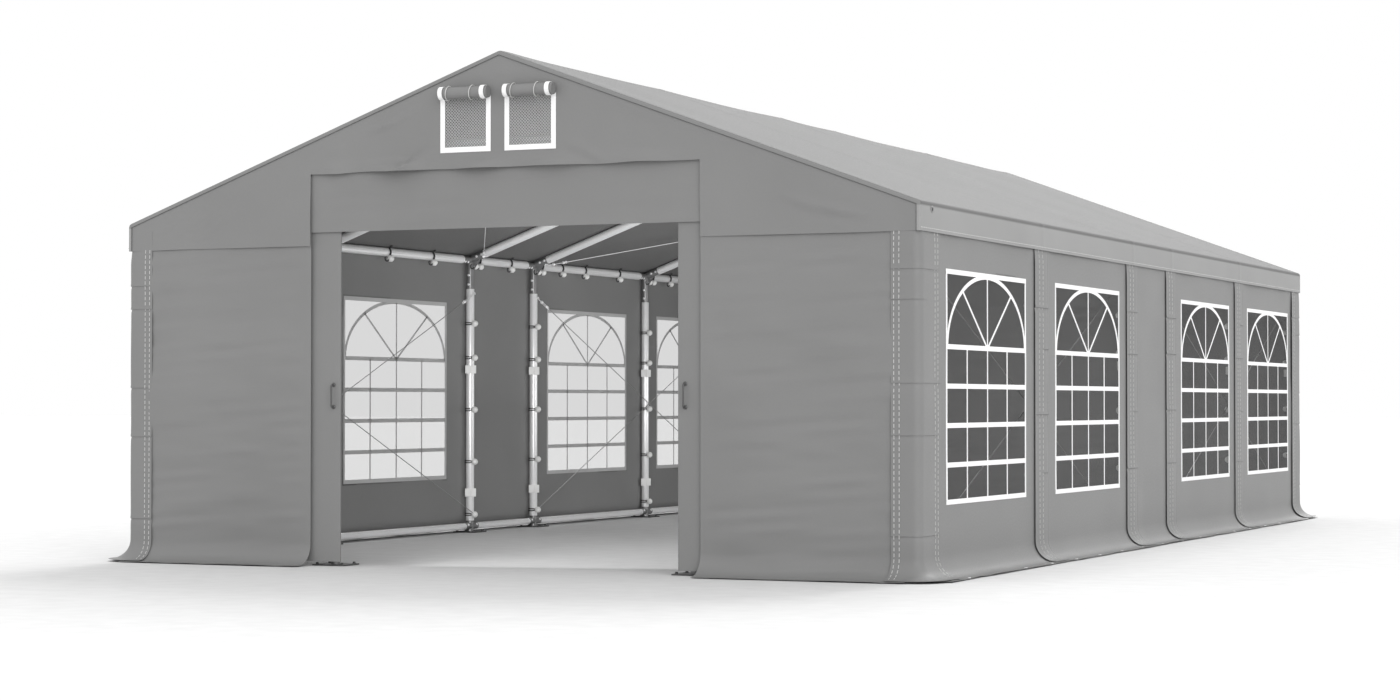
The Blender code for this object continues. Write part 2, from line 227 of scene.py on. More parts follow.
def make_weave_group() -> bpy.types.NodeTree:
    """A plain weave of crossing threads: its height over the cloth, from 0 to 1.

    Returns:
        The group.
    """
    sockets = {"Vector": "NodeSocketVector", "Thread": "NodeSocketFloat"}
    bench, given, out = shader_group("plain_weave", sockets, "Height")
    turns = bench.math("DIVIDE", math.pi, given["Thread"])
    scaled = bench.add("ShaderNodeVectorMath", {0: given["Vector"], "Scale": turns}, operation="SCALE")
    axes = bench.add("ShaderNodeSeparateXYZ", {0: scaled}).outputs
    product = bench.math("MULTIPLY", bench.math("SINE", axes[0]), bench.math("SINE", axes[1]))
    bench.feed(out.inputs[0], bench.math("MULTIPLY_ADD", product, 0.5, 0.5))
    return bench.tree


def make_mottle_group() -> bpy.types.NodeTree:
    """Soft uneven patches of a given size, from 0 to 1.

    Returns:
        The group.
    """
    sockets = {"Vector": "NodeSocketVector", "Size": "NodeSocketFloat", "Detail": "NodeSocketFloat"}
    bench, given, out = shader_group("mottle", sockets, "Patches")
    feeds = {"Vector": given["Vector"], "Detail": given["Detail"]}
    scale = bench.math("DIVIDE", 1.0, given["Size"])
    noise = bench.add("ShaderNodeTexNoise", {**feeds, "Scale": scale})
    bench.feed(out.inputs[0], bench.ranged(noise, 0.3, 0.7, 0.0, 1.0))
    return bench.tree


@dataclass(frozen=True)
class ShaderGroups:
    """The shader groups that several finishes share."""

    weave: bpy.types.NodeTree
    mottle: bpy.types.NodeTree


class Dressing(Bench):
    """One new material: its shader, its coordinates and the shared groups."""

    def __init__(self, name: str, groups: ShaderGroups) -> None:
        """Starts the material.

        Args:
            name: The material's name.
            groups: The shared shader groups.
        """
        self.material = bpy.data.materials.new(name)
        self.material.use_nodes = True
        super().__init__(self.material.node_tree)
        where = self.add("ShaderNodeTexCoord").outputs
        self.groups, self.spot, self.cloth = groups, where["Object"], where["UV"]

    def patches(self, vector: object, size: float, detail: float = 2.0) -> Node:
        """Places the mottle group."""
        feeds = {"Vector": vector, "Size": size, "Detail": detail}
        return self.add("ShaderNodeGroup", feeds, node_tree=self.groups.mottle)

    def scaled(self, value: object, span: Pair) -> Socket:
        """Stretches a value between 0 and 1 to a range."""
        return self.ranged(value, 0.0, 1.0, *span)

    def done(self, color: object, rough: Socket, height: object, relief: Pair,
             plain: dict[str, float] | None = None) -> Material:
        """Feeds the shader and hands out the material.

        Args:
            color: The base colour.
            rough: The roughness.
            height: The relief over the surface, from 0 to 1.
            relief: The bump's strength and its depth in metres.
            plain: Numbers for the shader's other sockets.

        Returns:
            The finished material.
        """
        bump = self.add("ShaderNodeBump", {"Strength": relief[0], "Distance": relief[1], "Height": height})
        feeds = {"Base Color": color, "Roughness": rough, "Normal": bump, **(plain or {})}
        for title, value in feeds.items():
            self.feed(self.tree.nodes["Principled BSDF"].inputs[title], value)
        return self.material


@dataclass(frozen=True)
class CoatedFabric:
    """Coated polyester: a fine weave under a satin coat, with slow changes of shade."""

    name: str
    shade: float
    thread: float = 0.0018
    relief: Pair = (0.35, 0.00025)
    spread: float = 0.035
    rough: Pair = (0.46, 0.60)
    doubled_below: float = 0.0
    doubled_gain: float = 1.0
    turned_past: float = 4.634
    turned_gain: float = 1.50
    gloss: Pair = (0.32, 0.08)

    def material(self, groups: ShaderGroups) -> Material:
        """Builds the material: its weave on the cloth's own map, with painted light that raises its colour
        below a height and past a distance along the tent.

        Args:
            groups: The shared shader groups.

        Returns:
            The material.
        """
        dress = Dressing(self.name, groups)
        fine = dress.patches(dress.cloth, 0.012)
        feeds = {"Vector": dress.cloth, "Thread": self.thread}
        weave = dress.add("ShaderNodeGroup", feeds, node_tree=groups.weave)
        dark, light = self.shade * (1 - self.spread), self.shade * (1 + self.spread)
        slow = dress.patches(dress.spot, 0.9, 3.0)
        tone = dress.mixed(slow, (dark, dark, dark * 0.995), (light, light, light * 0.995))
        gain = dress.scaled(fine, (0.985, 1.015))
        # Painted light: the colour gains on the valance below a height and on the rake band that turns down
        # at each end, so these upright faces come out lighter than the lit slopes.
        if self.doubled_gain > 1.0:
            _, along, up = dress.add("ShaderNodeSeparateXYZ", {0: dress.spot}).outputs
            low, past = self.doubled_below, self.turned_past
            edge = dress.ranged(up, low, low + 0.01, self.doubled_gain, 1.0)
            rake = dress.ranged(dress.math("ABSOLUTE", along), past, past + 0.008, 1.0, self.turned_gain)
            gain = dress.math("MULTIPLY", gain, dress.math("MAXIMUM", edge, rake))
        color = dress.add("ShaderNodeVectorMath", {0: tone, "Scale": gain}, operation="SCALE")
        plain = {"Specular IOR Level": self.gloss[0], "Coat Weight": self.gloss[1], "Coat Roughness": 0.35}
        return dress.done(color, dress.scaled(fine, self.rough), weave, self.relief, plain)


@dataclass(frozen=True)
class ClearFilm:
    """Clear window film with a faint grey tint and a slightly uneven gloss."""

    name: str = "clear_film"
    tint: float = 0.02
    gloss: float = 0.05
    alpha: float = 0.17
    rough: Pair = (0.10, 0.22)
    relief: Pair = (0.25, 0.004)

    def material(self, groups: ShaderGroups) -> Material:
        """Builds the see-through material.

        Args:
            groups: The shared shader groups.

        Returns:
            The material.
        """
        dress = Dressing(self.name, groups)
        wavy = dress.patches(dress.spot, 0.35, 1.0)
        tint = (self.tint, self.tint, self.tint, 1.0)
        plain = {"Alpha": self.alpha, "Specular IOR Level": self.gloss}
        return dress.done(tint, dress.scaled(wavy, self.rough), wavy, self.relief, plain)


@dataclass(frozen=True)
class Galvanised:
    """Zinc-coated steel with faint spangle and rubbed patches."""

    name: str
    shade: float = 0.97
    rough: Pair = (0.28, 0.31)
    metallic: float = 0.34
    spangle: float = 0.012
    relief: Pair = (0.03, 0.00004)

    def material(self, groups: ShaderGroups) -> Material:
        """Builds the metal, with its spangle on object coordinates.

        Args:
            groups: The shared shader groups.

        Returns:
            The material.
        """
        dress = Dressing(self.name, groups)
        cells = dress.add("ShaderNodeTexVoronoi", {"Vector": dress.spot, "Scale": 1 / self.spangle})
        grain = dress.add("ShaderNodeSeparateColor", {0: cells.outputs["Color"]})
        low, high = self.shade * 0.975, self.shade
        color = dress.mixed(grain, (low, low, low), (high, high, high * 1.01))
        rough = dress.scaled(dress.patches(dress.spot, 0.30), self.rough)
        grit = dress.patches(dress.spot, 0.003, 1.0)
        return dress.done(color, rough, grit, self.relief, {"Metallic": self.metallic})


@dataclass(frozen=True)
class Moulded:
    """Plastic, rubber or coated tape: one colour with fine grain and uneven gloss."""

    name: str
    color: Spot
    rough: Pair = (0.35, 0.5)
    grain: float = 0.004
    relief: Pair = (0.3, 0.0002)

    def material(self, groups: ShaderGroups) -> Material:
        """Builds the material on object coordinates.

        Args:
            groups: The shared shader groups.

        Returns:
            The material.
        """
        dress = Dressing(self.name, groups)
        grain = dress.patches(dress.spot, self.grain, 3.0)
        dark = tuple(c * 0.94 for c in self.color)
        color = dress.mixed(dress.patches(dress.spot, 0.15), dark, self.color)
        return dress.done(color, dress.scaled(grain, self.rough), grain, self.relief)


@dataclass(frozen=True)
class Palette:
    """Every material of the tent."""

    fabric: Material
    roof_fabric: Material
    film: Material
    steel: Material
    dark_steel: Material
    foot_steel: Material
    wire: Material
    white_tape: Material
    tape_back: Material
    net: Material
    white_plastic: Material
    cord: Material
    plastic: Material
    thread: Material
    floor: Material


def mix_palette() -> Palette:
    """Builds every material once.

    Returns:
        The tent's materials.
    """
    groups = ShaderGroups(make_weave_group(), make_mottle_group())
    finishes = {
        "fabric": CoatedFabric("grey_fabric", 0.218),
        # The roof's cloth takes a lower shade than the walls' as painted shade on its lit slopes; its
        # valance and rake band are raised again by painted light.
        "roof_fabric": CoatedFabric("grey_roof_fabric", 0.157, doubled_below=1.985, doubled_gain=2.04,
                                    gloss=(0.08, 0.0)),
        "film": ClearFilm(),
        "steel": Galvanised("galvanised_tube"),
        "dark_steel": Galvanised("dull_steel", 0.27, (0.28, 0.42), 0.6),
        # The feet are galvanised steel like the tubes; their near-black colour is painted shade.
        "foot_steel": Galvanised("foot_steel", 0.085, (0.25, 0.40), 0.4),
        "wire": Galvanised("steel_wire", 0.36, (0.25, 0.40), 0.5, 0.004),
        "white_tape": Moulded("white_tape", (0.96, 0.96, 0.96), (0.5, 0.65), 0.002),
        # The window tape inside the tent is white like the outer tape; its grey is painted shade.
        "tape_back": Moulded("tape_back", (0.50, 0.50, 0.50), (0.5, 0.65), 0.002),
        "net": Moulded("vent_net", (0.44, 0.44, 0.44), (0.6, 0.8), 0.001),
        "white_plastic": Moulded("white_plastic", (0.87, 0.87, 0.86)),
        "cord": Moulded("black_cord", (0.022, 0.022, 0.023), (0.6, 0.8), 0.0012),
        "plastic": Moulded("grey_plastic", (0.10, 0.10, 0.10), (0.3, 0.45)),
        "thread": Moulded("light_thread", (0.62, 0.62, 0.61), (0.6, 0.8), 0.0008),
        "floor": Moulded("pale_floor", (0.73, 0.73, 0.73), (0.85, 0.95), 0.05, (0.3, 0.0001)),
    }
    return Palette(**{name: finish.material(groups) for name, finish in finishes.items()})


def ticks(low: float, high: float, step: float, *marks: float) -> Grid:
    """Grid lines from low to high, at most a step apart, with lines at the given marks.

    Args:
        low: The first line.
        high: The last line.
        step: The widest gap.
        marks: Places that need a line of their own.

    Returns:
        The lines, in order.
    """
    stops = sorted({low, high, *(mark for mark in marks if low < mark < high)})
    runs = [np.linspace(a, b, max(1, math.ceil((b - a) / step - 1e-6)), endpoint=False)
            for a, b in zip(stops, stops[1:])]
    lines = np.append(np.concatenate(runs), high)
    return lines[np.append(True, np.diff(lines) > 1e-5)]


def bell(distance: Grid, width: float) -> Grid:
    """A smooth bump, 1 at no distance and 0 well past the width."""
    return np.exp(-((distance / width) ** 2))


def smooth_step(value: Grid, low: float, high: float) -> Grid:
    """Rises smoothly from 0 at low to 1 at high."""
    t = np.clip((value - low) / (high - low), 0.0, 1.0)
    return t * t * (3 - 2 * t)


def fold_line(above: Grid) -> Grid:
    """How deep a pulled fold runs in: a groove that a lip of cloth hangs over, at no height above it."""
    groove, lip = 0.0052 * bell(above + 0.006, 0.008), 0.0030 * bell(above - 0.004, 0.009)
    return np.where(above < 0, groove, -lip)


@dataclass(frozen=True)
class Ripple:
    """Slow waves of a slack sheet: smooth noise, drawn out along one direction."""

    height: float
    across: float
    along: float
    turn: float = 0.0
    seed: int = 1

    def __call__(self, u: Grid, v: Grid) -> Grid:
        """The height of the waves at places on the cloth.

        Args:
            u: Distances along the cloth's first side.
            v: Distances along its second side.

        Returns:
            The height at each place.
        """
        table = np.random.default_rng(self.seed).uniform(-1.0, 1.0, (64, 64))
        cosine, sine = math.cos(self.turn), math.sin(self.turn)
        a = (u * cosine + v * sine) / self.across + 32.0
        b = (v * cosine - u * sine) / self.along + 32.0
        i, j = np.floor(a).astype(int), np.floor(b).astype(int)
        s, t = a - i, b - j
        s, t = s * s * (3 - 2 * s), t * t * (3 - 2 * t)
        i0, i1, j0, j1 = i % 64, (i + 1) % 64, j % 64, (j + 1) % 64
        near = table[i0, j0] * (1 - s) + table[i1, j0] * s
        far = table[i0, j1] * (1 - s) + table[i1, j1] * s
        return self.height * (near * (1 - t) + far * t)


@dataclass(frozen=True)
class Crease:
    """One pulled fold between two places on the cloth, deepest in its middle."""

    start: Pair
    end: Pair
    depth: float = 0.003
    width: float = 0.012

    def __call__(self, u: Grid, v: Grid) -> Grid:
        """The height of the fold at places on the cloth.

        Args:
            u: Distances along the cloth's first side.
            v: Distances along its second side.

        Returns:
            The height at each place.
        """
        du, dv = self.end[0] - self.start[0], self.end[1] - self.start[1]
        length = math.hypot(du, dv)
        t = ((u - self.start[0]) * du + (v - self.start[1]) * dv) / length ** 2
        off = ((u - self.start[0]) * dv - (v - self.start[1]) * du) / length
        taper = np.sin(np.pi * np.clip(t, 0.0, 1.0)) ** 0.7
        return self.depth * taper * (bell(off, self.width) - 0.5 * bell(off - 1.6 * self.width, self.width))


def layered(*fields: Field) -> Field:
    """The sum of several fields over the cloth."""
    return lambda u, v: sum((field(u, v) for field in fields), np.zeros(np.broadcast(u, v).shape))


@dataclass
class Section:
    """A line in a plane, read by its length."""

    points: Grid | Line

    def __post_init__(self) -> None:
        """Measures the line."""
        self.points = np.asarray(self.points, float)
        steps = np.linalg.norm(np.diff(self.points, axis=0), axis=1)
        self.lengths = np.append(0.0, np.cumsum(steps))

    @property
    def length(self) -> float:
        """The whole length."""
        return float(self.lengths[-1])

    def at(self, s: Grid, points: Grid | None = None) -> Row:
        """The two coordinates at distances along the line, or those of a line that runs beside it."""
        line = self.points if points is None else points
        return np.interp(s, self.lengths, line[:, 0]), np.interp(s, self.lengths, line[:, 1])

    def on_ground(self, u: Grid, v: Grid, ragged: Field, rise: float = 0.8) -> Row:
        """Reads the section of a wall sheet whose lower edge lies unevenly on the ground.

        Args:
            u: Distances along the wall.
            v: Distances up the section.
            ragged: How far the edge strays.
            rise: The share of that by which it lifts.

        Returns:
            The distance outwards and the height of each place.
        """
        out, z = self.at(v)
        wobble = ragged(u, v) * (1 - smooth_step(v, 0.0, 0.12))
        return out + wobble, np.maximum(z + np.abs(wobble) * rise, 0.0022)


@dataclass
class Cloth:
    """One sheet of cloth as a grid over (u, v), both in metres along it."""

    us: Grid
    vs: Grid
    place: Field
    relief: Field
    outward: Spot
    holes: Holes = ()
    thickness: float = 0.002
    flat_face: bool = False

    def on(self, u: Grid, v: Grid, lift: float = 0.0004) -> Row:
        """Places on the cloth's outer face.

        Args:
            u: Distances along the cloth's first side.
            v: Distances along its second side.
            lift: How far off the face the places lie.

        Returns:
            The points and the outward normals.
        """
        base = self.place(u, v)
        outward = np.asarray(self.outward, float)
        if self.flat_face:
            normal = np.broadcast_to(outward, base.shape)
        else:
            e = 0.0004
            first = self.place(u + e, v) - self.place(u - e, v)
            second = self.place(u, v + e) - self.place(u, v - e)
            normal = np.cross(first, second)
            normal /= np.maximum(np.linalg.norm(normal, axis=-1, keepdims=True), 1e-12)
            if (normal @ outward).mean() < 0:
                normal = -normal
        return base + normal * (self.relief(u, v) + lift)[..., None], normal

    def mesh(self, name: str) -> tuple[Mesh, float]:
        """Builds the sheet with its thickness.

        Args:
            name: The mesh's name.

        Returns:
            The mesh, and how much cloth it took in square metres.
        """
        u, v = np.meshgrid(self.us, self.vs, indexing="ij")
        points, normals = self.on(u, v, 0.0)
        nu, nv = u.shape
        mid_u, mid_v = (u[:-1, :-1] + u[1:, 1:]) / 2, (v[:-1, :-1] + v[1:, 1:]) / 2
        keep = np.ones((nu - 1, nv - 1), bool)
        for low_u, high_u, low_v, high_v in self.holes:
            keep &= ~((mid_u > low_u) & (mid_u < high_u) & (mid_v > low_v) & (mid_v < high_v))
        i, j = np.nonzero(keep)
        corners = np.stack([i * nv + j, (i + 1) * nv + j, (i + 1) * nv + j + 1, i * nv + j + 1], axis=1)
        if np.cross(points[1, 0] - points[0, 0], points[0, 1] - points[0, 0]) @ normals[0, 0] < 0:
            corners = corners[:, ::-1]
        mesh = bpy.data.meshes.new(name)
        mesh.from_pydata(points.reshape(-1, 3).tolist(), [], corners.tolist())
        flat = np.stack([u.ravel(), v.ravel()], axis=1)[corners.ravel()]
        mesh.uv_layers.new(name="Cloth").data.foreach_set("uv", flat.astype(np.float32).ravel())
        form = bmesh.new()
        form.from_mesh(mesh)
        loose = [vert for vert in form.verts if not vert.link_faces]
        bmesh.ops.delete(form, geom=loose, context="VERTS")
        bmesh.ops.remove_doubles(form, verts=form.verts, dist=1e-5)
        bmesh.ops.dissolve_degenerate(form, edges=form.edges, dist=1e-6)
        area = sum(face.calc_area() for face in form.faces)
        form.to_mesh(mesh)
        form.free()
        return thickened(mesh, self.thickness), area


def linked(name: str, data: bpy.types.ID | None) -> bpy.types.Object:
    """Adds an object to the scene.

    Args:
        name: The object's name.
        data: Its mesh, light or camera.

    Returns:
        The new object.
    """
    made = bpy.data.objects.new(name, data)
    bpy.context.scene.collection.objects.link(made)
    return made


def settled(part: bpy.types.Object) -> Mesh:
    """Takes an object's mesh with its modifiers applied, and removes the object.

    Args:
        part: The object.

    Returns:
        The plain mesh.
    """
    made = bpy.data.meshes.new_from_object(part.evaluated_get(bpy.context.evaluated_depsgraph_get()))
    bpy.data.objects.remove(part)
    return made


def thickened(mesh: Mesh, thickness: float) -> Mesh:
    """Gives an open sheet its thickness, inwards from its outer face.

    Args:
        mesh: The open sheet.
        thickness: How thick it becomes.

    Returns:
        The closed mesh.
    """
    part = linked("sheet", mesh)
    modifier = part.modifiers.new("thickness", "SOLIDIFY")
    modifier.thickness = thickness
    modifier.offset = -1.0
    return settled(part)


def circle(radius: float, steps: int) -> list[Pair]:
    """A closed round line of points in a plane."""
    return [(radius * math.cos(a), radius * math.sin(a)) for a in np.linspace(0, 2 * math.pi, steps + 1)]


class Shape:
    """Collects turned, boxed and swept solids into one mesh."""

    def __init__(self) -> None:
        """Starts empty."""
        self.form = bmesh.new()

    def take(self, points: Iterable, faces: Iterable[Sequence[int]], place: Matrix | None = None) -> Shape:
        """Adds a solid that is given by its points and faces.

        Args:
            points: The solid's corners.
            faces: Each face's corners, by number.
            place: Where the solid goes, if not where its points are.

        Returns:
            The shape itself.
        """
        verts = [self.form.verts.new(place @ Vector(p) if place else Vector(p)) for p in points]
        for face in faces:
            self.form.faces.new([verts[i] for i in face])
        return self

    def lathe(self, profile: Sequence[Pair], place: Matrix | None = None, sides: int = 20) -> Shape:
        """Turns a closed (radius, z) line, from the axis round to the axis, about Z.

        Args:
            profile: The line.
            place: Where the axis stands, if not at the origin.
            sides: The number of faces round it.

        Returns:
            The shape itself.
        """
        points: list[Spot] = []
        rings: list[list[int]] = []
        for radius, z in profile:
            count = sides if radius > 1e-7 else 1
            rings.append(list(range(len(points), len(points) + count)))
            for k in range(count):
                angle = 2 * math.pi * k / sides
                points.append((radius * math.cos(angle), radius * math.sin(angle), z))
        faces = []
        for near, far in zip(rings, rings[1:]):
            for k in range(sides):
                corner = [near[k % len(near)], near[(k + 1) % len(near)],
                          far[(k + 1) % len(far)], far[k % len(far)]]
                face = list(dict.fromkeys(corner))
                if len(face) > 2:
                    faces.append(face)
        return self.take(points, faces, place)

    def disc(self, radius: float, low: float, high: float, place: Matrix, sides: int = 28) -> Shape:
        """Adds a plain round block between two heights on its axis."""
        return self.lathe([(0, low), (radius, low), (radius, high), (0, high)], place, sides)

    def block(self, low: Sequence[float], high: Sequence[float], edge: float = 0.0) -> Shape:
        """Adds a block between two corners, with its edges rounded.

        Args:
            low: The corner with the lowest X, Y and Z.
            high: The opposite corner.
            edge: How far in its edges are rounded.

        Returns:
            The shape itself.
        """
        made = bmesh.ops.create_cube(self.form, size=1.0)["verts"]
        size, centre = Vector(high) - Vector(low), (Vector(high) + Vector(low)) / 2
        bmesh.ops.scale(self.form, vec=size, verts=made)
        bmesh.ops.translate(self.form, vec=centre, verts=made)
        if edge > 0:
            edges = list({e for vert in made for e in vert.link_edges})
            bmesh.ops.bevel(self.form, geom=edges, offset=edge, segments=2, affect="EDGES", profile=0.7)
        return self

    def prism(self, outline: Line, start: Sequence[float], end: Sequence[float]) -> Shape:
        """Adds a bar whose outline of points at the start runs on to the end.

        Args:
            outline: The outline, from the start.
            start: Where the bar starts.
            end: Where it ends.

        Returns:
            The shape itself.
        """
        run = Vector(end) - Vector(start)
        near = [Vector(start) + Vector(p) for p in outline]
        count = len(near)
        faces = [[i, (i + 1) % count, count + (i + 1) % count, count + i] for i in range(count)]
        faces += [list(range(count)), list(range(2 * count - 1, count - 1, -1))]
        return self.take([*near, *(p + run for p in near)], faces)

    def sweep(self, path: Line, radius: float, sides: int = 8) -> Shape:
        """Adds a round bar along a line of points.

        Args:
            path: The line, which makes a ring where it ends at its start.
            radius: The bar's radius.
            sides: The number of faces round it.

        Returns:
            The shape itself.
        """
        line = [Vector(p) for p in path]
        ring = (line[0] - line[-1]).length < 1e-7
        if ring:
            line = line[:-1]
        count = len(line)
        up = Vector((0.3, 0.5, 0.81)).normalized()
        points = []
        for k, spot in enumerate(line):
            before = line[k - 1] if k or ring else spot
            after = line[(k + 1) % count] if k < count - 1 or ring else spot
            along = (after - before).normalized()
            up = (up - along * up.dot(along)).normalized()
            across = along.cross(up)
            for i in range(sides):
                angle = 2 * math.pi * i / sides
                points.append(spot + (across * math.cos(angle) + up * math.sin(angle)) * radius)
        faces = []
        for k in range(count if ring else count - 1):
            near, far = k * sides, (k + 1) % count * sides
            for i in range(sides):
                j = (i + 1) % sides
                faces.append([near + i, near + j, far + j, far + i])
        if not ring:
            faces += [list(range(sides)), list(range(count * sides - 1, (count - 1) * sides - 1, -1))]
        return self.take(points, faces)

    def mesh(self, name: str) -> Mesh:
        """Turns what was collected into a mesh with its faces pointing outwards.

        Args:
            name: The mesh's name.

        Returns:
            The mesh.
        """
        bmesh.ops.recalc_face_normals(self.form, faces=self.form.faces)
        mesh = bpy.data.meshes.new(name)
        self.form.to_mesh(mesh)
        self.form.free()
        return mesh


def carry(mesh: Mesh, title: str, vectors: Line) -> Mesh:
    """Gives each point of a mesh its own vector, under a title.

    Args:
        mesh: The mesh.
        title: The title.
        vectors: One vector for each point.

    Returns:
        The mesh itself.
    """
    layer = mesh.attributes.new(title, "FLOAT_VECTOR", "POINT")
    layer.data.foreach_set("vector", np.asarray(vectors, np.float32).ravel())
    return mesh


def line_mesh(name: str, lines: Iterable[Row | Line]) -> Mesh:
    """Loose lines as a mesh of edges.

    Args:
        name: The mesh's name.
        lines: The lines. Those that come with normals keep them as the attribute lift.

    Returns:
        The mesh.
    """
    points, lifts, edges = [], [], []
    for line in lines:
        spots, normals = line if isinstance(line, tuple) else (line, [(0.0, 0.0, 1.0)] * len(line))
        start = len(points)
        points += [tuple(p) for p in spots]
        lifts += [tuple(n) for n in normals]
        edges += [(start + k, start + k + 1) for k in range(len(spots) - 1)]
    mesh = bpy.data.meshes.new(name)
    mesh.from_pydata(points, edges, [])
    return carry(mesh, "lift", lifts)


def spot_mesh(name: str, spots: Sequence[Matrix]) -> Mesh:
    """Loose points that carry a turn, for small pieces that stand on them.

    Args:
        name: The mesh's name.
        spots: Where each small piece stands, and how it is turned.

    Returns:
        The mesh.
    """
    mesh = bpy.data.meshes.new(name)
    mesh.from_pydata([tuple(m.to_translation()) for m in spots], [], [])
    return carry(mesh, "turn", [tuple(m.to_euler()) for m in spots])


class Recipe:
    """A Geometry Nodes tree with named inputs, baked into plain meshes."""

    def __init__(self, name: str, inputs: dict[str, str]) -> None:
        """Starts the tree.

        Args:
            name: The tree's name.
            inputs: The kind of each input socket after the geometry, by name.
        """
        self.tree = bpy.data.node_groups.new(name, "GeometryNodeTree")
        self.tree.interface.new_socket("Geometry", in_out="INPUT", socket_type="NodeSocketGeometry")
        for title, kind in {**inputs, "Material": "NodeSocketMaterial"}.items():
            self.tree.interface.new_socket(title, in_out="INPUT", socket_type=kind)
        self.tree.interface.new_socket("Geometry", in_out="OUTPUT", socket_type="NodeSocketGeometry")
        self.bench = Bench(self.tree)
        self.given = self.bench.add("NodeGroupInput").outputs

    def end(self, geometry: Node) -> Recipe:
        """Ends the tree: real instances with their material.

        Args:
            geometry: The node that puts out what the tree made.

        Returns:
            The recipe itself.
        """
        real = self.bench.add("GeometryNodeRealizeInstances", {0: geometry})
        worn = self.bench.add("GeometryNodeSetMaterial", {0: real, "Material": self.given["Material"]})
        self.bench.add("NodeGroupOutput", {0: worn})
        return self

    def carried(self, title: str) -> Node:
        """Reads the vector that each point carries under a title."""
        return self.bench.add("GeometryNodeInputNamedAttribute", {"Name": title}, data_type="FLOAT_VECTOR")

    def bake(self, name: str, source: Mesh, material: Material, **values: object) -> Mesh:
        """Runs the tree on a mesh.

        Args:
            name: The piece's name.
            source: The mesh that the tree starts from.
            material: The finish of what it makes.
            values: The tree's own inputs, by name.

        Returns:
            The plain result.
        """
        part = linked(name, source)
        modifier = part.modifiers.new(self.tree.name, "NODES")
        modifier.node_group = self.tree
        values["Material"] = material
        for socket in self.tree.interface.items_tree:
            if socket.in_out == "INPUT" and socket.name in values:
                modifier[socket.identifier] = values[socket.name]
        return settled(part)


def make_rod_recipe() -> Recipe:
    """Round bars along lines.

    Returns:
        The recipe, with the bars' radius and number of sides as its inputs.
    """
    recipe = Recipe("rods", {"Radius": "NodeSocketFloat", "Sides": "NodeSocketInt"})
    add, given = recipe.bench.add, recipe.given
    curve = add("GeometryNodeMeshToCurve", {0: given["Geometry"]})
    ring = add("GeometryNodeCurvePrimitiveCircle", {"Resolution": given["Sides"], "Radius": given["Radius"]})
    return recipe.end(add("GeometryNodeCurveToMesh", {0: curve, 1: ring, "Fill Caps": True}))


def make_band_recipe() -> Recipe:
    """Flat bands along lines in one plane.

    Returns:
        The recipe, with the bands' width, thickness and facing as its inputs.
    """
    kinds = {"Width": "NodeSocketFloat", "Thickness": "NodeSocketFloat", "Facing": "NodeSocketVector"}
    recipe = Recipe("bands", kinds)
    add, given = recipe.bench.add, recipe.given
    curve = add("GeometryNodeMeshToCurve", {0: given["Geometry"]})
    turned = add("GeometryNodeSetCurveNormal", {0: curve, "Normal": given["Facing"]}, mode="FREE")
    sides = {"Width": given["Thickness"], "Height": given["Width"]}
    profile = add("GeometryNodeCurvePrimitiveQuadrilateral", sides)
    return recipe.end(add("GeometryNodeCurveToMesh", {0: turned, 1: profile, "Fill Caps": True}))


def make_stitch_recipe() -> Recipe:
    """Rows of stitches that lie on cloth, along lines that carry its normals.

    Returns:
        The recipe, with the stitches' pitch and size as its inputs.
    """
    recipe = Recipe("stitches", {"Pitch": "NodeSocketFloat", "Size": "NodeSocketVector"})
    add, given = recipe.bench.add, recipe.given
    curve = add("GeometryNodeMeshToCurve", {0: given["Geometry"]})
    spaced = add("GeometryNodeResampleCurve", mode="LENGTH")
    recipe.bench.feed(spaced.inputs["Curve"], curve)
    recipe.bench.feed(spaced.inputs["Length"], given["Pitch"])
    run = add("FunctionNodeAlignRotationToVector", {"Vector": add("GeometryNodeInputTangent")}, axis="X")
    turn = add("FunctionNodeAlignRotationToVector", {"Rotation": run, "Vector": recipe.carried("lift")},
               axis="Z", pivot_axis="X")
    stitch = add("GeometryNodeMeshCube", {"Size": given["Size"]})
    placed = {"Points": spaced, "Instance": stitch, "Rotation": turn}
    return recipe.end(add("GeometryNodeInstanceOnPoints", placed))


def make_scatter_recipe() -> Recipe:
    """Copies of one small piece on points that carry its turn.

    Returns:
        The recipe, with the small piece as its input.
    """
    recipe = Recipe("scatter", {"Piece": "NodeSocketObject"})
    add, given = recipe.bench.add, recipe.given
    piece = add("GeometryNodeObjectInfo", {"Object": given["Piece"], "As Instance": True})
    turn = add("FunctionNodeEulerToRotation", {0: recipe.carried("turn")})
    placed = {"Points": given["Geometry"], "Instance": piece.outputs["Geometry"], "Rotation": turn}
    return recipe.end(add("GeometryNodeInstanceOnPoints", placed))


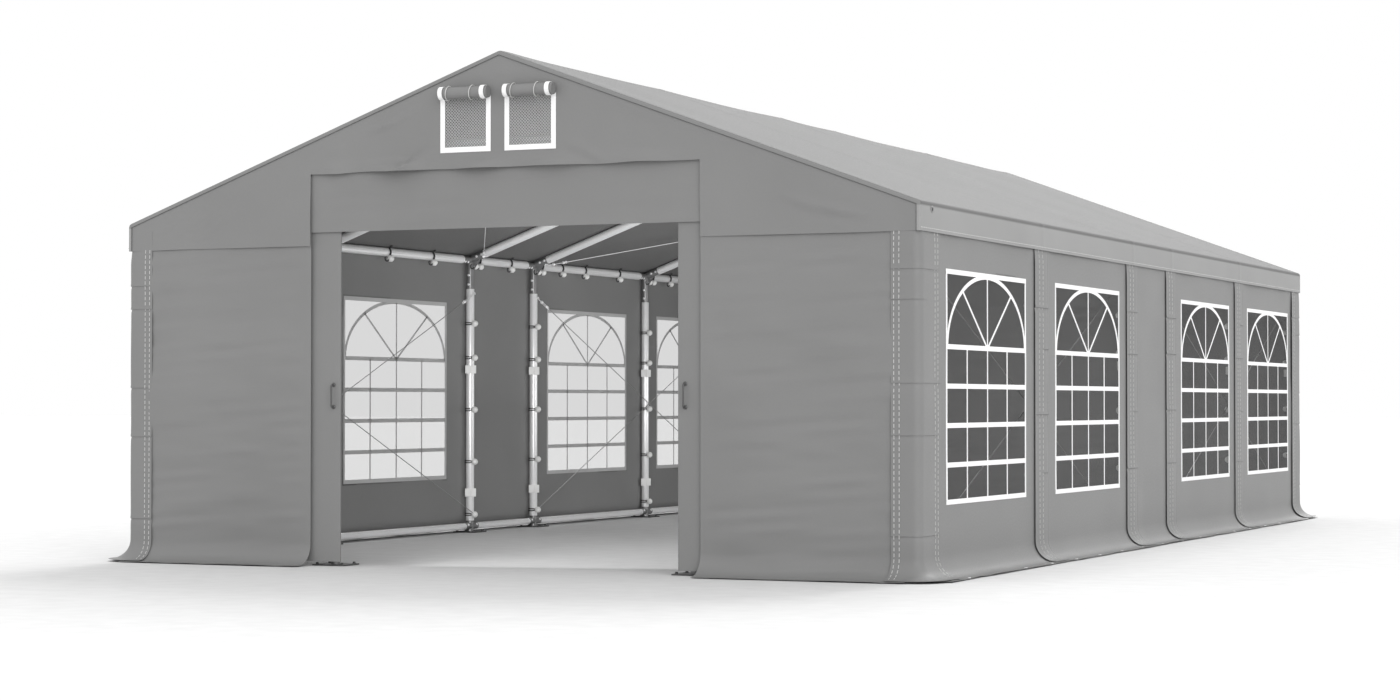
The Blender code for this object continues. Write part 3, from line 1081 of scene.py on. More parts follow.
class Workshop:
    """Makes finished pieces and tells the frame about them."""

    def __init__(self, plan: TentPlan, palette: Palette) -> None:
        """Builds the recipes that all sub-assemblies share.

        Args:
            plan: The tent's driving dimensions.
            palette: The tent's materials.
        """
        self.plan = plan
        self.palette = palette
        self.rods = make_rod_recipe()
        self.bands = make_band_recipe()
        self.stitching = make_stitch_recipe()
        self.scatter = make_scatter_recipe()

    def add(self, name: str, mesh: Mesh, material: Material, body: str = "tent", nodes: Names = (),
            slot: str = "", sharp: float = 40.0) -> bpy.types.Object:
        """Puts one finished piece in the scene.

        Args:
            name: The piece's name.
            mesh: Its mesh, in place.
            material: Its finish.
            body: The body that it rides on.
            nodes: The CAD nodes that it stands for.
            slot: The record's material slot, or nothing; not used.
            sharp: The angle in degrees past which an edge stays sharp.

        Returns:
            The new object.
        """
        part = linked(name, mesh)
        mesh.name = name
        mesh.materials.clear()
        mesh.materials.append(material)
        mesh.polygons.foreach_set("material_index", np.zeros(len(mesh.polygons), np.int32))
        mesh.shade_smooth()
        mesh.set_sharp_from_angle(angle=math.radians(sharp))
        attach(part, body)
        if nodes:
            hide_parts(*nodes)
        LOG.info("%s: %d faces", name, len(mesh.polygons))
        return part

    def add_cloth(self, name: str, cloth: Cloth, held: str, rests_on: Names, nodes: Names = (),
                  material: Material | None = None, body: str = "tent", slot: str = "grey_fabric") -> None:
        """Args:
            name: The piece's name.
            cloth: The sheet.
            held: How it is held: hung, stretched or gathered; not used.
            rests_on: The nodes or pieces that carry it; not used.
            nodes: The CAD nodes that it stands for.
            material: Its finish, where that isn't the walls' fabric.
            body: The body that it rides on.
            slot: The record's material slot; passed on, not used.
        """
        mesh, area = cloth.mesh(name)
        part = self.add(name, mesh, material or self.palette.fabric, body, nodes, slot)
        flat = (float(np.ptp(cloth.us)), float(np.ptp(cloth.vs)))
        min(area, flat[0] * flat[1])

    def add_rods(self, name: str, lines: Iterable, radius: float, material: Material, sides: int = 24,
                 **kept: object) -> None:
        """Puts round bars along lines in the scene, as one piece."""
        mesh = self.rods.bake(name, line_mesh(name, lines), material, Radius=radius, Sides=sides)
        self.add(name, mesh, material, **kept)

    def add_bands(self, name: str, lines: Iterable, width: float, thickness: float, facing: Sequence[float],
                  material: Material) -> None:
        """Puts flat bands along lines in the scene, as one piece.

        Args:
            name: The piece's name.
            lines: The bands' middles.
            width: Their width.
            thickness: Their thickness.
            facing: The direction that they face.
            material: Their finish.
        """
        mesh = self.bands.bake(name, line_mesh(name, lines), material, Width=width, Thickness=thickness,
                               Facing=tuple(float(c) for c in facing))
        self.add(name, mesh, material)

    def add_stitches(self, name: str, rows: Iterable[Row], pitch: float = 0.031) -> None:
        """Puts rows of stitches in the scene, as one piece.

        Args:
            name: The piece's name.
            rows: The rows' places and normals.
            pitch: How far apart the stitches are.
        """
        size = (pitch * 0.62, 0.0034, 0.0014)
        mesh = self.stitching.bake(name, line_mesh(name, rows), self.palette.thread, Pitch=pitch, Size=size)
        self.add(name, mesh, self.palette.thread)

    def add_copies(self, name: str, piece: Mesh, spots: Sequence[Matrix], material: Material) -> None:
        """Puts copies of one small piece in the scene, joined into one.

        Args:
            name: The piece's name.
            piece: The small piece.
            spots: Where each copy stands.
            material: Their finish.
        """
        pattern = bpy.data.objects.new(f"{name}_pattern", piece)
        mesh = self.scatter.bake(name, spot_mesh(name, spots), material, Piece=pattern)
        bpy.data.objects.remove(pattern)
        self.add(name, mesh, material)


@dataclass
class Assembly:
    """What every sub-assembly of the tent works with."""

    shop: Workshop

    @property
    def plan(self) -> TentPlan:
        """The tent's driving dimensions."""
        return self.shop.plan

    @property
    def palette(self) -> Palette:
        """The tent's materials."""
        return self.shop.palette


def turned(point: Sequence[float], z_axis: Sequence[float], x_axis: Sequence[float] = (1, 0, 0)) -> Matrix:
    """A place whose Z points along one direction, with its X as near as can be to another.

    Args:
        point: Where it stands.
        z_axis: The direction of its Z.
        x_axis: The direction that its X keeps to.

    Returns:
        The place.
    """
    z = Vector(z_axis).normalized()
    x = Vector(x_axis)
    x = x - z * x.dot(z)
    if x.length < 1e-6:
        x = z.orthogonal()
    x.normalize()
    turn = Matrix((x, z.cross(x), z)).transposed().to_4x4()
    return Matrix.Translation(point) @ turn


def wall_section(plan: TentPlan, lift: float, top: float, flat: float, steps: int = 14) -> Section:
    """The section of a wall sheet as (distance outwards, z).

    Args:
        plan: The tent's driving dimensions.
        lift: How far the sheet stands outside the walls' inner face.
        top: The height of its upper edge.
        flat: How far it lies flat on the ground past its bend.
        steps: The number of faces round the bend.

    Returns:
        The line from the edge on the ground to the top.
    """
    radius = plan.skirt_r
    arc = [math.pi / 2 * (1 - step / steps) for step in range(steps + 1)]
    bend = [(radius - (radius - lift) * math.cos(a), radius - (radius - lift) * math.sin(a)) for a in arc]
    edge = [(radius + flat, lift)] if flat else []
    return Section([*edge, *bend, (lift, top)])


@dataclass
class RoofCover(Assembly):
    """The roof sheet: over the ridge and the eaves, down as valances, and round the end rafters."""

    outer_x: float = 2.5159
    fillet: float = 0.026
    wrap_r: float = 0.016
    hem: float = 0.009
    piping_r: float = 0.0016
    eyelet_r: float = 0.015
    eyelet_wire: float = 0.0045
    eyelet_place: Pair = (4.475, 1.972)
    sag: float = 0.016
    ridge_sag: float = 0.006
    seam_edges: Pair = (0.020, 0.024)
    hem_seam: float = 0.018
    arc_steps: int = 8
    step: float = 0.05

    def outline(self, inset: float) -> Grid:
        """The roof's section from one valance to the other.

        Args:
            inset: How far it lies inside the cover's face.

        Returns:
            The points as (x, z).
        """
        plan, steps = self.plan, self.arc_steps
        angle, rise = plan.roof_angle, plan.roof_rise - inset
        sine, cosine = math.sin(angle), math.cos(angle)
        fillet, cap = max(self.fillet - inset, 0.002), max(rise, 0.001)
        centre_x = self.outer_x - inset - fillet
        centre_z = plan.ridge_z + (rise - fillet - sine * centre_x) / cosine
        cap_z = plan.ridge_z + (rise - cap) / cosine
        right = [(self.outer_x - inset, plan.valance_z)]
        start = math.pi / 2 - angle
        for a in np.linspace(0.0, start, steps + 1):
            right.append((centre_x + fillet * math.cos(a), centre_z + fillet * math.sin(a)))
        for a in np.linspace(start, math.pi / 2, steps // 2 + 1):
            right.append((cap * math.cos(a), cap_z + cap * math.sin(a)))
        return np.array(right + [(-x, z) for x, z in reversed(right[:-1])])

    def build(self) -> None:
        """Builds the one sheet, its seams, its piping and its eyelets."""
        plan = self.plan
        section, depth = Section(self.outline(0.0)), self.wrap_r + self.hem
        inner = self.outline(depth)
        flat_y = plan.gable_out - self.wrap_r
        quarter = math.pi / 2 * self.wrap_r
        reach = flat_y + quarter + self.hem

        def place(u: Grid, v: Grid) -> Grid:
            """Lays the cover over the roof and round its end rafters.

            Args:
                u: Distances along the tent.
                v: Distances over the section.

            Returns:
                The places.
            """
            over = np.abs(u) - flat_y
            angle = np.clip(over / self.wrap_r, 0.0, math.pi / 2)
            y = np.sign(u) * (np.minimum(np.abs(u), flat_y) + self.wrap_r * np.sin(angle))
            share = (self.wrap_r * (1 - np.cos(angle)) + np.clip(over - quarter, 0.0, None)) / depth
            x, z = section.at(v)
            in_x, in_z = section.at(v, inner)
            return np.stack([x + (in_x - x) * share, y, z + (in_z - z) * share], axis=-1)

        bends = np.linspace(0, quarter, 7) + flat_y
        seams = [y + side * off for y in plan.post_lines for off in self.seam_edges for side in (-1, 1)]
        us = ticks(-reach, reach, self.step, *bends, *(-bends), *plan.post_lines, *seams)
        vs = ticks(0.0, section.length, self.step, *section.lengths, 0.012, section.length - 0.012)
        cloth = Cloth(us, vs, place, self.relief(section, flat_y), (0.0, 0.0, 1.0))
        self.shop.add_cloth("roof_cover", cloth, "stretched", ["rafters_1", "ridge_rail"], ["roof_sheet"],
                            self.palette.roof_fabric)
        us = np.arange(-flat_y, flat_y, 0.04)
        hems = (self.hem_seam, section.length - self.hem_seam)
        self.shop.add_stitches("valance_stitches", [cloth.on(us, np.full_like(us, edge)) for edge in hems])
        edges = [cloth.on(np.full_like(vs, sign * (reach + 0.0004)), vs, 0.0)[0] for sign in (-1, 1)]
        self.shop.add_rods("rake_piping", edges, self.piping_r, self.palette.plastic, 6)
        self.build_eyelets()

    def relief(self, section: Section, flat_y: float) -> Field:
        """The cover's height over its plain form: it sags between the rafters and has seams on them.

        Args:
            section: The roof's section.
            flat_y: Where the cover starts to turn round the end rafters.

        Returns:
            The height over the cloth.
        """
        lines, half = np.array(self.plan.post_lines), section.length / 2
        eave = half - float(section.lengths[1])
        ripple, flutter = Ripple(0.0022, 0.55, 0.9, 0.4, 11), Ripple(0.0035, 0.30, 0.5, 0.0, 12)
        near, far = self.seam_edges

        def height(u: Grid, v: Grid) -> Grid:
            """Adds up the sag, the seams and the waves.

            Args:
                u: Distances along the tent.
                v: Distances over the section.

            Returns:
                The height over the cloth.
            """
            bay = np.clip(np.searchsorted(lines, u, side="right") - 1, 0, len(lines) - 2)
            width = lines[bay + 1] - lines[bay]
            t = np.clip((u - lines[bay]) / width, 0.0, 1.0)
            down = np.abs(v - half)
            slope = np.clip(down / (eave - 0.04), 0.0, 1.0)
            hang = 2 * t * (1 - t) * width * (np.sin(math.pi * slope) ** 0.8 * self.sag
                                              + self.ridge_sag * bell(down, 0.25))
            seams = sum(smooth_step(-np.abs(u - y), -far, -near) for y in lines[1:-1]) * 0.0009
            on_slope = 1 - smooth_step(down, eave - 0.10, eave - 0.02)
            hanging = smooth_step(down, eave, eave + 0.03) * (flutter(u, v) + 0.002)
            return (seams + (ripple(u, v) - hang) * on_slope + hanging) * (
                1 - smooth_step(np.abs(u), flat_y - 0.05, flat_y))
        return height

    def build_eyelets(self) -> None:
        """Builds the eyelet near the front end of both valances, with a black disc in its hole as painted
        shade.
        """
        y, z = self.eyelet_place
        rings, holes = Shape(), Shape()
        for side in Side:
            place = turned((side.value * (self.outer_x + 0.003), -y, z), (side.value, 0, 0))
            ring = [place @ Vector((a, b, 0.0)) for a, b in circle(self.eyelet_r, 24)]
            rings.sweep(ring, self.eyelet_wire)
            # A black disc in the ring stands for the dark seen through the hole: painted shade.
            holes.disc(self.eyelet_r, 0, 0.0015, place, 24)
        self.shop.add("valance_eyelets", rings.mesh("eyelets"), self.palette.dark_steel)
        self.shop.add("valance_eyelet_holes", holes.mesh("holes"), self.palette.cord)


@dataclass
class GableEnd(Assembly):
    """One gable sheet with its vents, hung inside the end of the roof sheet."""

    end: End
    outer_x: float = 2.509
    face_in: float = 0.003
    top_gap: float = 0.004
    eave_top: float = 2.000
    notch_top: float = 2.272
    bulges: tuple[Spot, ...] = ((-1.06, 0.09, 0.016), (-0.66, 0.15, 0.052), (-0.13, 0.12, 0.044),
                                (0.33, 0.16, 0.030), (0.84, 0.20, 0.022))
    vent_centres: Pair = (-0.2145, 0.198)
    vent_width: float = 0.268
    vent_low: float = 2.392
    vent_high: float = 2.700
    step: float = 0.019

    def creases(self) -> list[Field]:
        """Fine pulls below the vents' corners and in the gable's lower wings.

        Returns:
            The folds.
        """
        left, right = self.vent_centres[0] - 0.16, self.vent_centres[1] + 0.17
        folds: list[Field] = []
        for k in range(5):
            x = left - 0.035 * k
            folds += [Crease((x, 2.40 - 0.02 * k), (x - 0.26, 2.285 - 0.012 * k), 0.0040, 0.017),
                      Crease((1.70 + 0.06 * k, 2.08 - 0.02 * k), (1.98 + 0.07 * k, 1.93), 0.0046, 0.018),
                      Crease((-1.75 - 0.08 * k, 2.09), (-2.05 - 0.07 * k, 1.90 + 0.01 * k), 0.0052, 0.017)]
        for k in range(3):
            x = right + 0.05 * k
            folds += [Crease((x, 2.41), (x + 0.24, 2.30 - 0.02 * k), 0.0042, 0.017),
                      Crease((-0.50 - 0.06 * k, 2.64 - 0.04 * k), (-0.82 - 0.05 * k, 2.50), 0.0044, 0.018)]
        return folds

    def top(self, x: Grid) -> Grid:
        """The sheet's upper edge under the roof.

        Args:
            x: Distances from the middle.

        Returns:
            The height of the edge.
        """
        plan = self.plan
        sine, cosine = math.sin(plan.roof_angle), math.cos(plan.roof_angle)
        line = plan.ridge_z + (plan.roof_rise - self.top_gap - sine * np.abs(x)) / cosine
        return np.minimum(line, self.eave_top + np.clip(2.49 - np.abs(x), 0.0, None) * 9)

    def build(self) -> None:
        """Builds the sheet and its two vents."""
        plan, sign, front = self.plan, self.end.value, self.end is End.FRONT
        y, low, half = sign * (plan.gable_out - self.face_in), plan.valance_z, plan.opening_half
        sagging, hemmed = Ripple(0.007, 0.22, 9.0, 0.0, 23), Ripple(0.003, 0.35, 9.0, 0.0, 29)
        waves = layered(Ripple(0.0060, 0.40, 0.26, 0.5, 21 + sign),
                        Ripple(0.0018, 0.16, 0.10, 0.9, 25 + sign), *self.creases())

        def place(x: Grid, z: Grid) -> Grid:
            """Hangs the sheet in the gable's plane.

            Args:
                x: Distances from the middle.
                z: Heights.

            Returns:
                The places.
            """
            over_notch = bell(z - self.notch_top, 0.035) * (np.abs(x) < half) * float(front)
            lift = (sagging(x, z * 0) - 0.004) * over_notch * np.clip((half - np.abs(x)) / 0.2, 0.0, 1.0)
            hem = hemmed(x, z * 0) * bell(z - low, 0.05)
            return np.stack([x, np.full_like(x, y), np.minimum(z + lift + hem, self.top(x))], axis=-1)

        def relief(x: Grid, z: Grid) -> Grid:
            """Adds up the waves and the bulges over the doorway.

            Args:
                x: Distances from the middle.
                z: Heights.

            Returns:
                The height over the cloth.
            """
            rim = smooth_step(self.top(x) - z, 0.03, 0.12) * smooth_step(2.47 - np.abs(x), 0.0, 0.08)
            vents = np.maximum(np.abs(x - sum(self.vent_centres) / 2) - 0.39, np.abs(z - 2.55) - 0.19)
            out = sum(high * bell(x - at, wide) for at, wide, high in self.bulges)
            out = out * bell(z - self.notch_top, 0.075) * (1 - smooth_step(z, 2.30, 2.358))
            return waves(x, z) * rim * smooth_step(vents, 0.0, 0.10) - 0.0006 + out * float(front)

        vents = [(c - self.vent_width / 2, c + self.vent_width / 2, self.vent_low, self.vent_high)
                 for c in self.vent_centres]
        holes = [*vents, (-half, half, low - 1, self.notch_top)] if front else vents
        edges = [edge for vent in vents for edge in vent[:2]]
        us = ticks(-self.outer_x, self.outer_x, self.step, half, -half, 0.0, *edges)
        apex = plan.ridge_z + (plan.roof_rise - self.top_gap) / math.cos(plan.roof_angle)
        vs = ticks(low, apex, self.step, self.notch_top, self.vent_low, self.vent_high, low + 0.03)
        cloth = Cloth(us, vs, place, relief, (0.0, sign, 0.0), holes, flat_face=True)
        rafters, word = "rafters_1" if front else "rafters_6", self.end.word
        self.shop.add_cloth(f"gable_{word}", cloth, "stretched", [rafters], [f"{word}_gable"])
        for side, centre in zip(Side, self.vent_centres):
            vent = Vent(self.shop, self.end, side, centre, y, self.vent_width, self.vent_low, self.vent_high)
            vent.build()


@dataclass
class Vent(Assembly):
    """A gable vent: its net, its white border and its cover flap rolled up above it."""

    end: End
    side: Side
    centre: float
    face_y: float
    width: float
    low: float
    high: float
    border: float = 0.030
    overlap: float = 0.028
    roll_z: float = 2.699
    roll_shift: float = 0.014
    roll_length: float = 0.306
    band_inset: float = 0.014
    band_width: float = 0.027
    roll_inner: float = 0.0035
    roll_outer: float = 0.0350
    turns: float = 4.6
    tie_places: Pair = (-0.087, 0.063)
    net_pitch: float = 0.018
    net_thread: float = 0.0025

    @property
    def name(self) -> str:
        """The vent's own name."""
        return f"{self.end.word}_{self.side.word}"

    @property
    def roll_y(self) -> float:
        """The middle of the roll."""
        return self.face_y + self.end.value * (self.roll_outer + 0.005)

    def build(self) -> None:
        """Builds the vent's pieces."""
        self.shop.add_rods(f"vent_net_{self.name}", self.net_lines(), self.net_thread, self.palette.net, 5,
                           slot="vent_net")
        self.build_border()
        self.build_roll()

    def net_lines(self) -> list[Line]:
        """Threads that cross at right angles, slanting over the opening.

        Returns:
            The two ends of each thread.
        """
        half, y = self.width / 2 + 0.004, self.face_y - self.end.value * 0.0045
        low, tall = self.low - 0.004, self.high - self.low + 0.008
        lines = []
        for lean in (-1, 1):
            first = -half - (tall if lean > 0 else 0)
            for k in range(int((2 * half + tall) / self.net_pitch) + 1):
                start = first + k * self.net_pitch
                a, b = max(0.0, -half - lean * start), min(tall, half - lean * start)
                if b - a > self.net_pitch / 4:
                    depth = y + lean * self.net_thread * 0.45
                    lines.append([(self.centre + start + lean * t, depth, low + t) for t in (a, b)])
        return lines

    def build_border(self) -> None:
        """Builds the white tape down both sides and along the bottom, and the plain tape behind it."""
        sign, half = self.end.value, self.border / 2
        side = self.width / 2 + self.overlap / 2 - 0.001
        left, right, bottom = self.centre - side, self.centre + side, self.low - half + 0.002
        y = self.face_y + sign * 0.0010
        shape = Shape()
        top = self.high + 0.004
        for x in (left, right):
            shape.block((x - half, y - 0.0009, bottom - half), (x + half, y + 0.0009, top), 0.0006)
        shape.block((left, y - 0.0012, bottom - half + 0.0003), (right, y + 0.0012, bottom + half), 0.0006)
        self.shop.add(f"vent_border_{self.name}", shape.mesh("border"), self.palette.white_tape)
        corners = [(left, self.high), (left, bottom), (right, bottom), (right, self.high)]
        spots = [(x, self.face_y - sign * 0.0035, z) for x, z in corners]
        rows = [[spots[1], spots[0]], [spots[2], spots[3]], [spots[1], spots[2]]]
        self.shop.add_bands(f"vent_tape_{self.name}", rows, self.border, 0.001, (0, 1, 0),
                            self.palette.fabric)

    def spiral(self, grow: float = 0.0, turns: float | None = None) -> Section:
        """The rolled flap's section.

        Args:
            grow: How far the line lies outside the roll.
            turns: How many turns it takes, or all of them.

        Returns:
            The line as (y, z), from its free end inside to its seam on the gable.
        """
        turns = self.turns if turns is None else turns
        wound, spots = (self.roll_outer - self.roll_inner) * turns / self.turns, []
        for t in np.linspace(0.0, 1.0, int(turns * 24) + 1):
            radius = self.roll_outer + grow - wound * (1 - t)
            angle = math.pi + 2 * math.pi * turns * (1 - t)
            spots.append((self.roll_y + self.end.value * radius * math.cos(angle),
                          self.roll_z + radius * math.sin(angle)))
        return Section(spots)

    def rolled(self, section: Section) -> Field:
        """Places cloth along the roll: u runs along its axis, and v along the section.

        Args:
            section: The roll's section.

        Returns:
            The placing.
        """
        def place(u: Grid, v: Grid) -> Grid:
            """Winds the cloth round the roll."""
            y, z = section.at(v)
            return np.stack([self.centre + self.roll_shift + u, y, z], axis=-1)
        return place

    def build_roll(self) -> None:
        """Builds the rolled flap, its white bands and the two ties that hold it."""
        half, line = self.roll_length / 2, self.spiral()
        spindle = turned((self.centre + self.roll_shift, self.roll_y, self.roll_z), (1, 0, 0))
        wound = Shape().disc(self.roll_outer - 0.0030, 0.0007 - half, half - 0.0007, spindle)
        self.shop.add(f"vent_core_{self.name}", wound.mesh("core"), self.palette.fabric)
        cloth = Cloth(ticks(-half, half, 0.012), line.lengths, self.rolled(line),
                      Ripple(0.0014, 0.07, 0.05, 0.3, 31), (0, 0, 1), thickness=0.0016)
        self.shop.add_cloth(f"vent_flap_{self.name}", cloth, "gathered", [f"vent_border_{self.name}"],
                            [f"vent_{self.name}"])
        band, waves = self.spiral(0.0044, 1.04), Ripple(0.0008, 0.05, 0.04, 0.1, 33)
        for side, end in ((Side.LEFT, half + 0.0008), (Side.RIGHT, half - self.band_inset)):
            low, high = sorted((side.value * end, side.value * (end - self.band_width)))
            strip = Cloth(ticks(low, high, 0.01), band.lengths, self.rolled(band), waves, (0, 0, 1),
                          thickness=0.0022)
            name = f"vent_band_{side.word}_{self.name}"
            self.shop.add(name, strip.mesh(name)[0], self.palette.white_tape)
        ties = Shape()
        for x in self.tie_places:
            ring = []
            for a in np.linspace(0, 2 * math.pi, 41):
                radius = self.roll_outer + 0.0035 + 0.004 * max(0.0, -math.sin(a)) ** 3
                ring.append((self.centre + x + 0.006 * math.sin(a), self.roll_y + radius * math.cos(a),
                             self.roll_z + radius * math.sin(a)))
            ties.sweep(ring, 0.0022)
        self.shop.add(f"vent_ties_{self.name}", ties.mesh("ties"), self.palette.thread)


@dataclass
class SideWall(Assembly):
    """One long wall: five bay sheets with four windows, flaps over the posts and corner covers."""

    side: Side
    flap_top: float = 1.965
    flap_front: float = -0.139
    flap_rear: float = 0.138
    flap_flat: float = 0.012
    stitch_offsets: Pair = (-0.061, 0.007)
    cover_reach: float = 4.330
    cover_front: float = 2.345
    cover_bend: float = 0.030
    flap_pulls: tuple[float, ...] = (0.515, 0.895, 1.275, 1.525)
    cover_pulls: tuple[float, ...] = (0.250, 0.760, 1.040, 1.510, 1.660)
    window_centres: tuple[float, ...] = (-3.5, -1.5, 1.5, 3.5)
    bay_gap: float = 0.002
    eyelet_r: float = 0.008
    eyelet_wire: float = 0.0022
    eyelet_inset: float = 0.016
    eyelet_pitch: float = 0.5
    eyelet_clear: float = 0.16
    step: float = 0.032
    flap_step: float = 0.017

    def build(self) -> None:
        """Builds the wall's pieces."""
        lines, wall_end = self.plan.post_lines, self.plan.panel_in - self.cover_bend
        edges = [-wall_end, *lines[1:-1], wall_end]
        for number, (start, stop) in enumerate(zip(edges, edges[1:]), 1):
            self.build_bay(number, start, stop)
        rows: list[Row] = []
        for number, y in enumerate(lines[1:-1], 2):
            rows += self.build_flap(number, y)
        for end in End:
            rows += self.build_cover(end)
        self.shop.add_stitches(f"wall_stitches_{self.side.word}", rows)
        self.build_eyelets()

    def hang(self, name: str, cloth: Cloth, nodes: Names = ()) -> None:
        """Hangs one sheet of this wall from its eave rail."""
        self.shop.add_cloth(name, cloth, "hung", [f"eave_rail_{self.side.word}"], nodes)

    def along_wall(self, section: Section, ragged: Field) -> Field:
        """Places a sheet along the wall: u is Y, and v runs up the section.

        Args:
            section: The sheet's section.
            ragged: How far its lower edge strays.

        Returns:
            The placing.
        """
        def place(u: Grid, v: Grid) -> Grid:
            """Hangs the sheet in the wall's plane."""
            out, z = section.on_ground(u, v, ragged)
            return np.stack([self.side.value * (self.plan.wall_in + out), u + 0 * v, z], axis=-1)
        return place

    def build_bay(self, number: int, start: float, stop: float) -> None:
        """Builds one bay's sheet, with its window if it has one.

        Args:
            number: The bay's number from the front.
            start: Its front edge.
            stop: Its rear edge.
        """
        plan, word = self.plan, self.side.word
        section = wall_section(plan, plan.sheet, plan.wall_top, plan.skirt_flat)
        seed = 40 + number + (0 if self.side is Side.RIGHT else 20)
        waves = layered(Ripple(0.0080, 0.48, 0.34, 0.3, seed + 1), Ripple(0.0030, 0.8, 0.12, 0.15, seed + 2))
        centre = next((c for c in self.window_centres if start < c < stop), None)
        below = section.length - plan.wall_top

        def relief(u: Grid, v: Grid) -> Grid:
            """Calms the waves at the edges and round the window.

            Args:
                u: Distances along the wall.
                v: Distances up the section.

            Returns:
                The height over the cloth.
            """
            ends = smooth_step(np.minimum(u - start, stop - u), 0.10, 0.34)
            calm = smooth_step(section.length - v, 0.02, 0.16)
            if centre is not None:
                box = np.maximum(np.abs(u - centre) - 0.70, np.abs(v - below - 1.0325) - 0.63)
                calm = calm * (0.12 + 0.88 * smooth_step(box, 0.0, 0.25))
            return (waves(u, v) * calm - 0.0015) * ends * smooth_step(v, 0.0, 0.14)

        window = None if centre is None else Window(self.shop, self.side, number, centre)
        holes = [window.opening(below)] if window else []
        us = ticks(start + self.bay_gap, stop - self.bay_gap, self.step, *(e for h in holes for e in h[:2]))
        vs = ticks(0.0, section.length, self.step, *section.lengths, *(e for h in holes for e in h[2:]))
        place = self.along_wall(section, Ripple(0.007, 0.24, 3.0, 0.0, seed))
        cloth = Cloth(us, vs, place, relief, (self.side.value, 0, 0), holes)
        self.hang(f"wall_sheet_{word}_{number}", cloth, [f"side_wall_{word}"])
        if window:
            window.build(cloth, below)

    def pull_places(self, section: Section, heights: Sequence[float], seed: int) -> Grid:
        """Where on the section the folds lie that the ties pull."""
        shifts = np.random.default_rng(seed).uniform(-0.02, 0.02, len(heights))
        return section.length - self.flap_top + np.array(heights) + shifts

    def pulled(self, section: Section, width: float, heights: Sequence[float], seed: int, crown: float,
               low: float = 0.0, pull: float = 1.0) -> tuple[Grid, Field]:
        """The form of a flap, with the folds that its ties pull.

        Args:
            section: The flap's section.
            width: Its width.
            heights: The heights of its ties.
            seed: The seed of its slack and of where the folds lie.
            crown: How far its middle stands out.
            low: Where its width starts.
            pull: The folds' strength.

        Returns:
            The grid lines up the flap that the folds need, and the height over the cloth.
        """
        slack = Ripple(0.0022, 0.11, 0.30, 0.1, seed)
        places = self.pull_places(section, heights, seed)
        starts = np.random.default_rng(seed + 1).choice([-1.0, 0.0, 0.45], len(heights))

        def relief(u: Grid, v: Grid) -> Grid:
            """Adds up the swell, the slack, the folds and the seam.

            Args:
                u: Distances along the wall.
                v: Distances up the section.

            Returns:
                The height over the cloth.
            """
            t = (u - low) / width
            swell = crown * np.clip(4 * t * (1 - t), 0.0, 1.0) ** 0.7
            pulls = sum(pull * fold_line(v - place) * smooth_step(t, start, start + 0.2)
                        for place, start in zip(places, starts))
            seam = 0.003 * bell(u - (low + width - 0.028), 0.004)
            lip = 0.004 * (1 - smooth_step(t, 0.0, 0.10))
            ends = smooth_step(section.length - v, 0.105, 0.19) * smooth_step(v, 0.0, 0.10)
            return (swell + slack(u, v) * np.clip(6 * t * (1 - t), 0, 1) - pulls - seam + lip) * ends

        marks = [place + off for place in places for off in (-0.016, -0.007, -0.0012, 0.0012, 0.008, 0.018)]
        return ticks(0.0, section.length, 0.03, *section.lengths, *marks), relief

    def stitch_rows(self, cloth: Cloth, places: Sequence[float]) -> list[Row]:
        """Rows of stitches up a flap, at places across it."""
        runs = np.linspace(0.05, float(cloth.vs[-1]) - 0.118, 66)
        return [cloth.on(np.full_like(runs, place), runs) for place in places]

    def build_flap(self, number: int, y: float) -> list[Row]:
        """Builds the flap over one post.

        Args:
            number: The post's number from the front.
            y: Where it stands.

        Returns:
            The flap's rows of stitches.
        """
        section = wall_section(self.plan, 2 * self.plan.sheet, self.flap_top, self.flap_flat)
        low, high = y + self.flap_front, y + self.flap_rear
        seed = 70 + number + (0 if self.side is Side.RIGHT else 10)
        vs, relief = self.pulled(section, high - low, self.flap_pulls, seed, 0.0065, low)
        us = ticks(low, high, self.flap_step, high - 0.034, high - 0.028, high - 0.022, low + 0.012)
        place = self.along_wall(section, Ripple(0.004, 0.2, 3.0, 0.0, seed))
        cloth = Cloth(us, vs, place, relief, (self.side.value, 0, 0))
        self.hang(f"wall_flap_{self.side.word}_{number}", cloth)
        return self.stitch_rows(cloth, [y + off for off in self.stitch_offsets])

    def build_cover(self, end: End) -> list[Row]:
        """Builds one corner cover, round from the long wall to the end wall.

        Args:
            end: The end that it leads to.

        Returns:
            The cover's rows of stitches.
        """
        plan, sign, fore, bend = self.plan, self.side.value, end.value, self.cover_bend
        centre_x, centre_y = plan.wall_in - bend, plan.panel_in - bend
        normals = [(math.cos(a), math.sin(a)) for a in np.linspace(0, math.pi / 2, 9)]
        spots = [(centre_x + bend * x, centre_y + bend * y) for x, y in normals]
        path = Section([(plan.wall_in, self.cover_reach), *spots, (self.cover_front, plan.panel_in)])
        facing = np.array([(1.0, 0.0), *normals, (0.0, 1.0)])
        section = wall_section(plan, 2 * plan.sheet + plan.fit, self.flap_top, self.flap_flat)
        ragged = Ripple(0.004, 0.12, 3.0, 0.0, 90)

        def place(u: Grid, v: Grid) -> Grid:
            """Leads the cover round the corner.

            Args:
                u: Distances round the corner.
                v: Distances up the section.

            Returns:
                The places.
            """
            x, y = path.at(u)
            nx, ny = path.at(u, facing)
            out, z = section.on_ground(u, v, ragged, 1.0)
            return np.stack([sign * (x + nx * out), fore * (y + ny * out), z], axis=-1)

        seed = 95 + sign + 2 * fore
        vs, relief = self.pulled(section, path.length, self.cover_pulls, seed, 0.005, pull=0.65)
        us = ticks(0.0, path.length, self.flap_step, *path.lengths)
        cloth = Cloth(us, vs, place, relief, (sign, fore, 0))
        self.hang(f"corner_cover_{end.word}_{self.side.word}", cloth)
        return self.stitch_rows(cloth, (0.038, 0.088, path.length - 0.017, path.length - 0.047))

